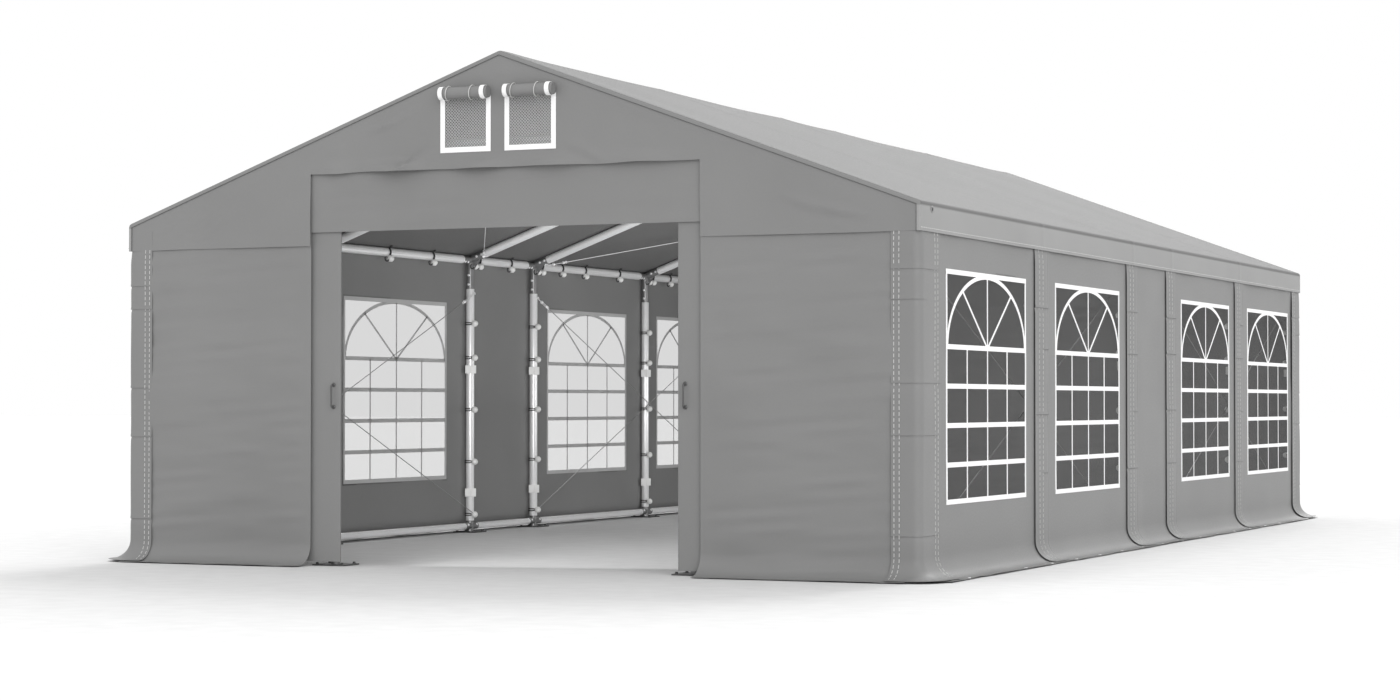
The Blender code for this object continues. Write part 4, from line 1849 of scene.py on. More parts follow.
    def build_eyelets(self) -> None:
        """Builds the small eyelets along the skirt's edge."""
        plan = self.plan
        ring = Shape().sweep([(x, y, 0.0) for x, y in circle(self.eyelet_r, 16)], self.eyelet_wire, 6)
        x = self.side.value * (plan.wall_in + plan.skirt_r + plan.skirt_flat - self.eyelet_inset)
        first = self.eyelet_pitch / 2 - plan.end_y
        spots = [Matrix.Translation((x, y, plan.sheet + self.eyelet_wire))
                 for y in np.arange(first, plan.end_y, self.eyelet_pitch)
                 if min(abs(y - line) for line in plan.post_lines) > self.eyelet_clear]
        name = f"skirt_eyelets_{self.side.word}"
        self.shop.add_copies(name, ring.mesh(name), spots, self.palette.steel)


@dataclass
class Window(Assembly):
    """One window: a pane of clear film with white bars under a round head."""

    side: Side
    number: int
    centre: float
    width: float = 1.380
    low: float = 0.414
    high: float = 1.651
    frame_x: float = 0.020
    frame_z: float = 0.027
    outer_half: float = 0.709
    outer_low: float = 0.394
    outer_high: float = 1.671
    bar_z: float = 0.027
    bar_y: float = 0.0155
    arch: float = 0.023
    spring_share: float = 0.67
    ray_slope: float = 0.72
    margin: float = 0.030

    def opening(self, below: float) -> tuple[float, float, float, float]:
        """The hole in the bay's sheet, where some of its cloth lies below the upright part."""
        half = self.width / 2
        return (self.centre - half, self.centre + half, self.low + below, self.high + below)

    def build(self, wall: Cloth, below: float) -> None:
        """Builds the pane and its bars on the wall's sheet.

        Args:
            wall: The bay's sheet, which the outer frame lies on.
            below: How much more cloth there is up to a height than the height itself.
        """
        word = f"{self.side.word}_{self.number}"
        film_x = self.side.value * (self.plan.wall_in + 0.0035)
        half = self.width / 2 + self.margin
        pane = Cloth(ticks(self.centre - half, self.centre + half, 0.09),
                     ticks(self.low - self.margin, self.high + self.margin, 0.09),
                     lambda y, z: np.stack([np.full_like(y, film_x), y, z], axis=-1),
                     Ripple(0.0007, 0.4, 0.5, 0.3, 60 + self.number), (self.side.value, 0, 0),
                     thickness=0.0008, flat_face=True)
        self.shop.add_cloth(f"window_pane_{word}", pane, "stretched", [f"wall_sheet_{word}"],
                            [f"window_film_{self.side.word}"], self.palette.film, slot="clear_film")
        self.build_bars(word, film_x)
        self.build_frame(word, wall, below)

    def build_bars(self, word: str, film_x: float) -> None:
        """Builds the glazing bars on the film.

        Args:
            word: The window's own name.
            film_x: Where the film's outer face is.
        """
        centre, high = self.centre, self.outer_high
        half, reach = self.width / 2 + 0.004, self.width / 2 - 0.004
        step = (high - self.outer_low) * self.spring_share / 4
        spring = self.outer_low + 4 * step
        rise, slope = high - 0.022 - spring, self.ray_slope
        ray = 1 / math.hypot(1 / reach, slope / rise)
        cross = [[(centre + end, spring - k * step) for end in (-half, half)] for k in (3, 2, 1, 0)]
        upright = [[(centre + self.outer_half * k / 2, self.low - 0.004),
                    (centre + self.outer_half * k / 2, spring if k else high - 0.02)] for k in (-1, 0, 1)]
        upright += [[(centre, spring), (centre + lean * ray, spring + slope * ray)] for lean in (-1, 1)]
        turn, tape = np.linspace(0, math.pi, 37), self.palette.white_tape
        arch = [list(zip(centre - reach * np.cos(turn), spring + rise * np.sin(turn)))]
        kinds = (("cross", cross, self.bar_z, 0.0016), ("upright", upright, self.bar_y, 0.0013),
                 ("arch", arch, self.arch, 0.0019))
        for kind, lines, width, thick in kinds:
            x = film_x + self.side.value * (thick / 2 + 0.0008)
            placed = [[(x, y, z) for y, z in line] for line in lines]
            self.shop.add_bands(f"window_{kind}_{word}", placed, width, thick, (1, 0, 0), tape)

    def build_frame(self, word: str, wall: Cloth, below: float) -> None:
        """Builds the white tape round the window outside on the sheet, and inside behind the film the same
        tape in grey, as painted shade.

        Args:
            word: The window's own name.
            wall: The bay's sheet.
            below: How much more cloth there is up to a height than the height itself.
        """
        sign, side = self.side.value, self.outer_half - self.frame_x / 2
        low, high = self.outer_low + self.frame_z / 2, self.outer_high - self.frame_z / 2
        ys = np.linspace(self.centre - self.outer_half, self.centre + self.outer_half, 24)
        zs = np.linspace(low, high, 20)
        level = [(ys, np.full_like(ys, z)) for z in (low, high)]
        upright = [(np.full_like(zs, self.centre + lean * side), zs) for lean in (-1, 1)]
        # The inner tape takes the grey finish as painted shade.
        tapes = (("outer", 0.0016, self.palette.white_tape), ("inner", 0.0010, self.palette.tape_back))
        kinds = (("level", level, self.frame_z, 0.0003), ("upright", upright, self.frame_x, 0.0))
        for place, thick, tape in tapes:
            for kind, lines, width, proud in kinds:
                if place == "outer":
                    placed = [wall.on(y, z + below, thick / 2 + 0.0002 + proud)[0] for y, z in lines]
                else:
                    x = sign * (self.plan.wall_in + 0.0020 - proud)
                    placed = [np.stack([np.full_like(y, x), y, z], axis=-1) for y, z in lines]
                self.shop.add_bands(f"window_{place}_{kind}_{word}", placed, width, thick, (1, 0, 0), tape)


@dataclass
class EndWall(Assembly):
    """What closes an end below the gable: the front panels and header, or the rear wall's sheets."""

    edge: float = 2.4676
    header_half: float = 1.300
    header_low: float = 1.934
    header_high: float = 2.330
    corner: float = 0.030
    lap: float = 0.035
    lap_lift: float = 0.0032
    step: float = 0.030

    def build(self) -> None:
        """Builds both ends."""
        for side in Side:
            low, high = sorted((side.value * self.plan.opening_half, side.value * self.edge))
            self.build_panel(f"front_sheet_{side.word}", End.FRONT, low, high, f"front_panel_{side.word}",
                             110 + side.value, rounded=-side.value)
        half, lap = self.plan.door_post_x + self.lap, self.lap
        self.build_panel("rear_sheet_left", End.REAR, -self.edge, lap - half, "rear_wall", 124)
        cloth = self.build_panel("rear_sheet_middle", End.REAR, -half, half, "rear_wall", 126, self.lap_lift)
        self.build_panel("rear_sheet_right", End.REAR, half - lap, self.edge, "rear_wall", 125)
        runs = np.linspace(0.05, float(cloth.vs[-1]) - 0.01, 60)
        rows = [cloth.on(np.full_like(runs, sign * (half - 0.014)), runs) for sign in (-1, 1)]
        self.shop.add_stitches("rear_stitches", rows)
        self.build_header()

    def build_panel(self, name: str, end: End, low: float, high: float, node: str, seed: int,
                    lift: float = 0.0, rounded: int = 0) -> Cloth:
        """Builds one upright sheet that runs out into a skirt.

        Args:
            name: The piece's name.
            end: The end that it closes.
            low: Its edge with the lower X.
            high: Its edge with the higher X.
            node: The CAD node that it stands for.
            seed: The seed of its waves.
            lift: How far it lies outside its neighbours.
            rounded: The side whose lower corner is rounded, by the sign of X, or 0.

        Returns:
            The sheet.
        """
        plan, corner = self.plan, self.corner
        section = wall_section(plan, plan.sheet + lift, plan.wall_top, plan.skirt_flat)
        ragged = Ripple(0.005, 0.25, 3.0, 0.0, seed)
        waves = layered(Ripple(0.0080, 0.45, 0.34, 0.5, seed + 1),
                        Ripple(0.0030, 0.7, 0.13, -0.35, seed + 2),
                        Ripple(0.0042, 0.42, 0.040, 0.07, seed + 3),
                        Crease((low + 0.25, 1.45), (high - 0.10, 1.32), 0.0025, 0.03),
                        Crease((low + 0.15, 0.86), (high - 0.25, 0.74), 0.0025, 0.03))

        def place(u: Grid, v: Grid) -> Grid:
            """Hangs the sheet in the end's plane, with one corner rounded.

            Args:
                u: Distances across the end.
                v: Distances up the section.

            Returns:
                The places.
            """
            out, z = section.on_ground(u, v, ragged)
            cut = corner - np.sqrt(np.clip(corner ** 2 - np.clip(corner - v, 0, None) ** 2, 0, None))
            t = (u - low) / (high - low)
            shift = cut * (t if rounded > 0 else 1 - t) * -rounded
            return np.stack([u + shift, end.value * (plan.panel_in + out), z], axis=-1)

        def relief(u: Grid, v: Grid) -> Grid:
            """Calms the waves at the sheet's edges.

            Args:
                u: Distances across the end.
                v: Distances up the section.

            Returns:
                The height over the cloth.
            """
            ends = smooth_step(np.minimum(u - low, high - u), 0.0, 0.12)
            calm = smooth_step(section.length - v, 0.10, 0.25) * smooth_step(v, 0.0, 0.14)
            return waves(u, v) * ends * calm

        vs = ticks(0.0, section.length, 0.018, *section.lengths, *np.linspace(0, corner, 7))
        cloth = Cloth(ticks(low, high, self.step), vs, place, relief, (0, end.value, 0))
        rest = "door_track" if end is End.FRONT else "rear_post_left"
        self.shop.add_cloth(name, cloth, "hung", [rest], [node])
        return cloth

    def build_header(self) -> None:
        """Builds the recessed sheet over the doorway."""
        y, half = -(self.plan.panel_in - 0.0003), self.header_half
        waves = layered(Ripple(0.0030, 0.40, 0.16, 0.2, 131), Ripple(0.0012, 0.14, 0.10, 0.7, 132),
                        Ripple(0.0026, 0.45, 0.040, 0.03, 133))
        cloth = Cloth(ticks(-half, half, 0.04),
                      ticks(self.header_low, self.header_high, 0.016, self.header_low + 0.004),
                      lambda u, v: np.stack([u, np.full_like(u, y), v], axis=-1),
                      lambda u, v: waves(u, v) * smooth_step(half - np.abs(u), 0.04, 0.2) - 0.0005,
                      (0, -1, 0), flat_face=True)
        self.shop.add_cloth("header_sheet", cloth, "stretched", ["door_track"], ["door_header"])


@dataclass
class DoorLeaf(Assembly):
    """One sliding leaf: cloth stretched round a light frame that hangs on the track."""

    side: Side
    edge: float
    width: float = 1.290
    front: float = 4.613
    depth: float = 0.016
    low: float = 0.027
    high: float = 1.965
    turn_r: float = 0.006
    hem: float = 0.035
    frame_r: float = 0.0055
    track_top: float = 2.025
    hanger_inset: float = 0.160
    hanger_width: float = 0.060
    hanger_back: float = 4.5463
    strap_in: float = 4.5935
    strap_out: float = 4.6030
    hook_out: float = 4.5985
    handle_inset: float = 0.045
    handle_z: float = 0.985
    handle_span: float = 0.128
    handle_proud: float = 0.034
    handle_r: float = 0.006
    handle_bend: float = 0.012

    @property
    def body(self) -> str:
        """The body that the leaf's pieces ride on."""
        return f"{self.side.word}_door"

    def build(self) -> None:
        """Builds the leaf's pieces."""
        low, high = sorted((self.edge, self.edge + self.side.value * self.width))
        self.build_cloth(low, high)
        self.build_frame(low, high)
        self.build_handle()

    def build_cloth(self, low: float, high: float) -> None:
        """Builds the cloth, folded round both upright edges.

        Args:
            low: The leaf's edge with the lower X.
            high: Its edge with the higher X.
        """
        r, back, word = self.turn_r, self.front - self.depth, self.side.word
        turn = [(math.sin(a), math.cos(a)) for a in np.linspace(0, math.pi / 2, 5)]
        spots = [(low + self.hem, -back), *((low + r - r * s, r * c - back - r) for s, c in turn),
                 *((low + r - r * c, r - self.front - r * s) for s, c in turn)]
        path = Section([*spots, *((low + high - x, y) for x, y in reversed(spots))])
        waves = layered(Ripple(0.0012, 0.3, 0.5, 0.2, 141), Ripple(0.0005, 0.09, 0.12, 0.8, 142))

        def place(u: Grid, v: Grid) -> Grid:
            """Leads the cloth round the leaf's frame."""
            x, y = path.at(u)
            return np.stack([x, y, v + 0 * x], axis=-1)

        def relief(u: Grid, v: Grid) -> Grid:
            """Calms the waves at the folded edges."""
            return waves(u, v) * smooth_step(np.minimum(u, path.length - u), 0.07, 0.12)

        cloth = Cloth(ticks(0.0, path.length, 0.035, *path.lengths), ticks(self.low, self.high, 0.04),
                      place, relief, (0, -1, 0), thickness=0.0016)
        self.shop.add_cloth(f"leaf_sheet_{word}", cloth, "stretched", [f"leaf_frame_{word}"],
                            [f"door_leaf_{word}"], body=self.body)

    def build_frame(self, low: float, high: float) -> None:
        """Builds the leaf's inner frame and its two hangers.

        Args:
            low: The leaf's edge with the lower X.
            high: Its edge with the higher X.
        """
        y, a, b = -self.front + self.depth / 2, low + 0.012, high - 0.012
        bottom, top, upper = self.low + 0.010, self.high - 0.010, self.track_top + 0.0103
        lines = [[(x, y, bottom), (x, y, top)] for x in (a, b)]
        lines += [[(a, y, z), (b, y, z)] for z in (bottom, (bottom + top) / 2, top)]
        self.shop.add_rods(f"leaf_frame_{self.side.word}", lines, self.frame_r, self.palette.steel, 12,
                           body=self.body)
        hooks = Shape()
        for x in (low + self.hanger_inset, high - self.hanger_inset):
            left, right = x - self.hanger_width / 2, x + self.hanger_width / 2
            under = self.track_top + self.plan.fit
            hooks.block((left, -self.strap_out, self.high - 0.06), (right, -self.strap_in, upper), 0.0015)
            hooks.block((left, -self.hook_out, under), (right, -self.hanger_back, upper), 0.0015)
            for z in (self.high - 0.045, self.high - 0.018):
                hooks.lathe([(0, 0), (0.006, 0), (0.006, 0.003), (0.004, 0.0045), (0, 0.005)],
                            turned((x, -self.strap_in, z), (0, 1, 0)), 12)
        self.shop.add(f"leaf_hangers_{self.side.word}", hooks.mesh("hangers"), self.palette.dark_steel,
                      self.body)

    def build_handle(self) -> None:
        """Builds the pull handle with its two rosettes."""
        x, face = self.edge + self.side.value * self.handle_inset, -self.front - 0.0004
        low, high = self.handle_z - self.handle_span / 2, self.handle_z + self.handle_span / 2
        bend, out = self.handle_bend, -self.front - self.handle_proud + self.handle_r
        line = [(x, face, low)]
        line += [(x, out + bend - bend * math.sin(a), low + bend - bend * math.cos(a))
                 for a in np.linspace(0, math.pi / 2, 7)]
        grip = Shape().sweep([*line, *((x, y, low + high - z) for x, y, z in reversed(line))],
                             self.handle_r * 0.95, 14)
        for z in (low, high):
            grip.lathe([(0, 0), (0.013, 0), (0.013, 0.002), (0.0095, 0.004), (0.007, 0.007), (0, 0.007)],
                       turned((x, face + 0.0006, z), (0, -1, 0)), 24)
        word = self.side.word
        self.shop.add(f"leaf_handle_{word}", grip.mesh("handle"), self.palette.plastic, self.body,
                      [f"door_handle_{word}"], "grey_plastic")


@dataclass
class Framework(Assembly):
    """The steel frame: posts, rails, rafters with their connectors, feet and fittings."""

    collar_r: float = 0.0292
    sleeve_r: float = 0.0262
    collar_length: float = 0.140
    ridge_r: float = 0.0225
    plate: float = 0.008
    plate_half: float = 0.090
    door_plate_half: float = 0.105
    peg_inset: float = 0.022
    stub_past: float = 0.020
    gusset: float = 0.105
    clamp_heights: Pair = (0.29, 1.19)
    clamp_turn: float = math.radians(-55)
    cross_r: float = 0.0268
    cross_reach: float = 0.088
    post_bolts: tuple[float, ...] = (1.812, 1.880)
    rafter_bolts: tuple[float, ...] = (0.070, 0.112)
    ridge_bolts: tuple[float, ...] = (0.062, 0.108)
    eave_bolts: tuple[float, ...] = (-0.108, -0.066, 0.066, 0.108)
    foot_bolts: tuple[float, ...] = (-0.064, 0.064)

    def build(self) -> None:
        """Builds the frame, from the ground up."""
        self.build_floor_rails()
        self.build_feet()
        self.build_posts()
        self.build_eaves()
        self.build_roof_frame()
        self.build_track()
        self.build_bolts()
        self.build_clamps()

    def knees(self) -> list[tuple[Side, int, Vector]]:
        """Every wall post: its side, its number and where its axis meets its rafter's.

        Returns:
            One entry for each post.
        """
        plan = self.plan
        return [(side, number, Vector((side.value * plan.post_x, y, plan.eave_z)))
                for side in Side for number, y in enumerate(plan.post_lines, 1)]

    def slopes(self) -> dict[Side, Vector]:
        """The direction up each slope."""
        angle = self.plan.roof_angle
        return {side: Vector((-side.value * math.cos(angle), 0, math.sin(angle))) for side in Side}

    def add_tubes(self, name: str, node: str, lines: Sequence[Line], radius: float, sides: int) -> None:
        """Puts galvanised tubes in the scene as one piece that stands for one CAD node."""
        self.shop.add_rods(name, lines, radius, self.palette.steel, sides, nodes=[node],
                           slot="galvanised_tube")

    def build_floor_rails(self) -> None:
        """Builds the rails on the floor."""
        plan = self.plan
        end, z, reach = plan.end_y, plan.rail_z, plan.post_x - plan.rail_r - plan.fit
        runs = {side.word: [(side.value * plan.post_x, y, z) for y in (-end, end)] for side in Side}
        runs["rear"] = [(x, end, z) for x in (-reach, reach)]
        for word, line in runs.items():
            self.add_tubes(f"floor_rail_{word}", f"base_rail_{word}", [line], plan.rail_r, 32)

    def build_feet(self) -> None:
        """Builds the plates, pegs, sleeves and saddles of all feet."""
        plan, deep, feet, crosses = self.plan, self.plate_half, Shape(), Shape()
        places = [(knee.x, knee.y, deep) for _, _, knee in self.knees()]
        for y, half in ((plan.end_y, deep), (-plan.end_y, self.door_plate_half)):
            places += [(sign * plan.door_post_x, y, half) for sign in (-1, 1)]
        peg = [(0, -0.001), (0.011, -0.001), (0.011, 0.002), (0.008, 0.0035), (0.008, 0.009),
               (0.006, 0.011), (0, 0.011)]
        for x, y, half in places:
            feet.block((x - half, y - deep, 0.0), (x + half, y + deep, self.plate), 0.002)
            crosses.disc(self.cross_r, self.plate, plan.post_foot - plan.fit, Matrix.Translation((x, y, 0)))
            for dx, dy in ((-1, -1), (-1, 1), (1, -1), (1, 1)):
                corner = (x + dx * (half - self.peg_inset), y + dy * (deep - self.peg_inset), self.plate)
                feet.lathe(peg, Matrix.Translation(corner), 12)
        # The plates and pegs are near black as painted shade on galvanised steel.
        self.shop.add("feet", feet.mesh("feet"), self.palette.foot_steel, slot="galvanised_tube")
        for _, _, knee in self.knees():
            low = max(knee.y - self.cross_reach, -plan.end_y)
            high = min(knee.y + self.cross_reach, plan.end_y)
            place = turned((knee.x, low, plan.rail_z), (0, 1, 0))
            crosses.disc(self.cross_r - 0.001, 0, high - low, place)
        self.shop.add("foot_crosses", crosses.mesh("crosses"), self.palette.dark_steel,
                      slot="galvanised_tube")

    def add_post(self, name: str, node: str, foot: Spot, high: float) -> None:
        """Puts one post in the scene: an open-looking tube with its ends rounded over.

        Args:
            name: The piece's name.
            node: The CAD node that it stands for.
            foot: The middle of its lower end.
            high: The height of its upper end.
        """
        r, tall = self.plan.tube_r, high - foot[2]
        ends = [(0, 0), (r - 0.003, 0), (r - 0.0008, 0.0008), (r, 0.003)]
        profile = [*ends, *((x, tall - z) for x, z in reversed(ends[1:])), (r - 0.0035, tall - 0.004),
                   (0, tall - 0.004)]
        tube = Shape().lathe(profile, Matrix.Translation(foot), 40).mesh("post")
        self.shop.add(name, tube, self.palette.steel, nodes=[node], slot="galvanised_tube")

    def build_posts(self) -> None:
        """Builds the wall posts, the doorway's posts and the rear gable's posts."""
        plan = self.plan
        end, low = plan.end_y, plan.post_foot + plan.fit
        top = plan.under_rafter(plan.door_post_x + plan.tube_r)
        for side, number, knee in self.knees():
            word = f"{side.word}_{number}"
            self.add_post(f"wall_post_{word}", f"post_{word}", (knee.x, knee.y, low), plan.post_top)
        for side in Side:
            word, x = side.word, side.value * plan.door_post_x
            self.add_post(f"doorway_post_{word}", f"door_post_{word}", (x, -end, plan.post_foot), top)
            self.add_post(f"rear_gable_post_{word}", f"rear_post_{word}", (x, end, low), top)

    def build_eaves(self) -> None:
        """Builds the eave purlins, bay by bay, the connectors between them and the connectors' gussets."""
        plan, half, down = self.plan, Vector((0, 0.003, 0)), Vector((0, 0, -1))
        lines, reach, z, last = plan.post_lines, plan.connector, plan.eave_z, plan.end_y + plan.tube_r
        for side, up in self.slopes().items():
            word, x = side.word, side.value * plan.post_x
            runs = [[(x, a + reach, z), (x, b - reach, z)] for a, b in zip(lines, lines[1:])]
            self.add_tubes(f"eave_purlin_{word}", f"eave_rail_{word}", runs, plan.tube_r, 36)
            stubs, plates = [], Shape()
            outline = [(down + up) * 0.015, down * self.gusset, down * self.gusset + up * 0.012,
                       up * self.gusset + down * 0.012, up * self.gusset]
            for y in lines:
                knee = Vector((x, y, z))
                stubs.append([knee, Vector((x, y, plan.post_top - 0.01))])
                stubs.append([knee, knee + up * (reach + self.stub_past)])
                stubs.append([(x, max(y - reach - 0.01, -last), z), (x, min(y + reach + 0.01, last), z)])
                plates.prism(outline, knee - half, knee + half)
            self.shop.add_rods(f"eave_stubs_{word}", stubs, self.sleeve_r, self.palette.dark_steel, 28)
            self.shop.add(f"eave_gussets_{word}", plates.mesh("gussets"), self.palette.dark_steel)

    def build_roof_frame(self) -> None:
        """Builds the ridge, the rafters, their collars and the gables' level ties."""
        plan, collar, inner, r = self.plan, self.collar_length / 2, self.ridge_r, self.collar_r
        end, reach, z = plan.end_y + collar, plan.connector, plan.ridge_z
        self.add_tubes("ridge_purlin", "ridge_rail", [[(0, -end, z), (0, end, z)]], inner, 32)
        length, uphill = plan.post_x / math.cos(plan.roof_angle), self.slopes().values()
        stubs = []
        for number, y in enumerate(plan.post_lines, 1):
            apex = Vector((0, y, z))
            stubs += [[apex, apex - up * (reach + self.stub_past)] for up in uphill]
            runs = [[apex - up * reach, apex - up * (length - reach)] for up in uphill]
            self.add_tubes(f"rafter_tubes_{number}", f"rafters_{number}", runs, plan.tube_r, 36)
        self.shop.add_rods("ridge_stubs", stubs, plan.stub_r, self.palette.dark_steel, 28)
        rim = [(inner, collar), (r - 0.001, collar), (r, collar - 0.002)]
        ring = Shape().lathe([*((x, -up) for x, up in rim), *reversed(rim), (inner, -collar)], None, 36)
        spots = [turned((0, y, z), (0, 1, 0)) for y in plan.post_lines]
        self.shop.add_copies("ridge_collars", ring.mesh("collar"), spots, self.palette.dark_steel)
        half = plan.door_post_x - plan.tube_r
        tie_z, tie_end = plan.under_rafter(half) - plan.fit - plan.stub_r, half - plan.fit
        for gable in End:
            line = [(x, gable.value * plan.end_y, tie_z) for x in (-tie_end, tie_end)]
            self.add_tubes(f"gable_tube_{gable.word}", f"gable_tie_{gable.word}", [line], plan.stub_r, 28)

    def build_track(self) -> None:
        """Builds the door track as a channel that is open below."""
        low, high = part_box("door_track")
        wall, lip = 0.003, 0.012
        wide, tall = high.y - low.y, high.z - low.z
        outline = [(0, 0), (0, tall), (wide, tall), (wide, 0), (wide - lip, 0), (wide - lip, wall),
                   (wide - wall, wall), (wide - wall, tall - wall), (wall, tall - wall), (wall, wall),
                   (lip, wall), (lip, 0)]
        track = Shape().prism([(0, y, z) for y, z in outline], tuple(low), (high.x, low.y, low.z))
        self.shop.add("door_track_channel", track.mesh("track"), self.palette.steel, nodes=["door_track"],
                      slot="track_rail", sharp=30.0)

    def build_bolts(self) -> None:
        """Builds the round bolt heads of all connectors."""
        plan, uphill = self.plan, self.slopes()
        head = Shape().lathe([(0, -0.002), (0.0095, -0.002), (0.0095, 0.002), (0.0085, 0.0042),
                              (0.006, 0.0058), (0.0, 0.0065)], None, 14).mesh("head")
        across = (Vector((0, -1, 0)), Vector((0, 1, 0)))
        spots: list[Matrix] = []

        def bolt(place: Vector, facing: Vector, radius: float) -> None:
            """Notes one bolt head on a tube."""
            spots.append(turned(place + facing * radius, facing))

        rows = ((self.eave_bolts, plan.eave_z, (0.75, -0.66), self.sleeve_r),
                (self.foot_bolts, plan.rail_z, (0.90, 0.43), self.cross_r - 0.001))
        for side, _, knee in self.knees():
            places = [Vector((knee.x, knee.y, z)) for z in self.post_bolts]
            places += [knee + uphill[side] * along for along in self.rafter_bolts]
            for place in places:
                for facing in across:
                    bolt(place, facing, self.sleeve_r)
            for shifts, z, (inward, upward), radius in rows:
                facing = Vector((-side.value * inward, 0, upward)).normalized()
                for dy in shifts:
                    if abs(knee.y + dy) < plan.end_y:
                        bolt(Vector((knee.x, knee.y + dy, z)), facing, radius)
        for y in plan.post_lines:
            for up in uphill.values():
                for along in self.ridge_bolts:
                    for facing in across:
                        bolt(Vector((0, y, plan.ridge_z)) - up * along, facing, plan.stub_r)
        self.shop.add_copies("bolt_heads", head, spots, self.palette.steel)

    def build_clamps(self) -> None:
        """Builds the white split clamps on the wall posts."""
        r = self.plan.tube_r
        near, mid, far = r + self.plan.fit, r + 0.004, r + 0.005
        clamp = Shape().lathe([(near, -0.026), (mid, -0.026), (far, -0.024), (far, 0.024), (mid, 0.026),
                               (near, 0.026), (near, -0.026)], None, 36)
        for low, high in ((-0.040, -0.002), (0.002, 0.040)):
            clamp.block((r - 0.012, low, -0.030), (r + 0.011, high, 0.030), 0.003)
        spots = []
        for side, _, knee in self.knees():
            turn = self.clamp_turn if side is Side.LEFT else math.pi - self.clamp_turn
            spots += [Matrix.Translation((knee.x, knee.y, z)) @ Matrix.Rotation(turn, 4, "Z")
                      for z in self.clamp_heights]
        self.shop.add_copies("post_clamps", clamp.mesh("clamp"), spots, self.palette.white_plastic)


@dataclass
class BallTies(Assembly):
    """Elastic ties with white balls that hold the cloth to the posts and the eave purlins."""

    ball_r: float = 0.0235
    cord_r: float = 0.0036
    turn: float = math.radians(-20)
    knee_offsets: Pair = (0.020, 0.098)
    bay_offsets: tuple[tuple[float, ...], ...] = (
        (0.80, 1.41), (0.80, 1.41), (0.59,), (0.44, 0.84, 1.46), (0.44, 0.84, 1.46))

    def ball(self) -> Mesh:
        """A ball with the recess that its cord's knot sits in, on its lower side.

        Returns:
            The ball, with its middle at the origin.
        """
        r = self.ball_r
        arc = [(r * math.cos(a), r * math.sin(a)) for a in np.linspace(-1.28, math.pi / 2, 16)]
        arc[-1] = (0.0, r)
        return Shape().lathe([(0, -r * 0.72), (r * 0.2, -r * 0.74), *arc], None, 20).mesh("ball")

    def post_cord(self) -> Mesh:
        """Two loops of cord round a post, drawn together at the ball.

        Returns:
            The loops, with the post's axis on Z.
        """
        cord = Shape()
        reach = self.plan.tube_r + self.cord_r
        for z in (-0.0075, 0.0075):
            ring = []
            for k in range(33):
                a = 2 * math.pi * k / 32
                near = max(0.0, math.cos(a)) ** 6
                radius = reach + 0.004 * near
                ring.append((radius * math.cos(a), radius * math.sin(a), z * (1 - 0.7 * near)))
            cord.sweep(ring, self.cord_r, 8)
        return cord.mesh("loops")

    def purlin_cord(self) -> Mesh:
        """A cord from the ball up over the purlin to the roof cloth, and its short hooked tail.

        Returns:
            The cords, with the purlin's axis on Y.
        """
        r = self.plan.tube_r + self.cord_r
        cord = Shape()
        for dy in (-0.006, 0.006):
            line = [(0.030, dy * 0.4, -0.040)]
            line += [(r * math.sin(a), dy, r * math.cos(a)) for a in np.linspace(2.1, 0.75, 8)]
            line += [(0.030, dy * 1.1 + 0.004, 0.036), (0.040, dy + 0.008, 0.043)]
            cord.sweep(smoothed(line, 3), self.cord_r, 8)
        tail = [(0.030, -0.008, -0.046), (0.028, -0.028, -0.062), (0.026, -0.048, -0.064),
                (0.026, -0.062, -0.054), (0.027, -0.064, -0.040), (0.028, -0.054, -0.036)]
        cord.sweep(smoothed(tail, 4), self.cord_r * 1.15, 8)
        return cord.mesh("purlin_cord")

    def build(self) -> None:
        """Builds the balls and the cords of all ties."""
        plan, shop = self.plan, self.shop
        balls, loops, overs = [], [], []
        for side in Side:
            x, inward = side.value * plan.post_x, 0.0 if side is Side.LEFT else math.pi
            for y in plan.post_lines:
                for z in plan.tie_heights:
                    post = Matrix.Translation((x, y, z)) @ Matrix.Rotation(inward + self.turn, 4, "Z")
                    loops.append(post)
                    balls.append(post @ Matrix.Translation((plan.tube_r + self.ball_r - 0.002, 0, 0)))
            for y in self.purlin_spots():
                purlin = Matrix.Translation((x, y, plan.eave_z)) @ Matrix.Rotation(inward, 4, "Z")
                overs.append(purlin)
                balls.append(purlin @ Matrix.Translation((0.034, 0.0, -0.046)))
        shop.add_copies("tie_balls", self.ball(), balls, self.palette.white_plastic)
        shop.add_copies("tie_loops", self.post_cord(), loops, self.palette.cord)
        shop.add_copies("tie_hooks", self.purlin_cord(), overs, self.palette.cord)

    def purlin_spots(self) -> list[float]:
        """Where ties sit along an eave purlin: two at each connector and some in each bay.

        Returns:
            The Y of each tie.
        """
        lines = self.plan.post_lines
        spots = [y + off for y in lines for off in self.knee_offsets if y + off < lines[-1] + 0.03]
        spots += [y + off for y, offsets in zip(lines, self.bay_offsets) for off in offsets]
        return spots


def smoothed(points: Line, steps: int) -> list[Vector]:
    """A smooth line through points, with several steps between each two.

    Args:
        points: The points.
        steps: The number of steps.

    Returns:
        The finer line.
    """
    spots = [Vector(p) for p in points]
    spots = [spots[0] * 2 - spots[1], *spots, spots[-1] * 2 - spots[-2]]
    line = []
    for a, b, c, d in zip(spots, spots[1:], spots[2:], spots[3:]):
        for k in range(steps):
            t = k / steps
            line.append(0.5 * (2 * b + (c - a) * t + (2 * a - 5 * b + 4 * c - d) * t * t
                               + (3 * b - a - 3 * c + d) * t ** 3))
    return [*line, spots[-2]]


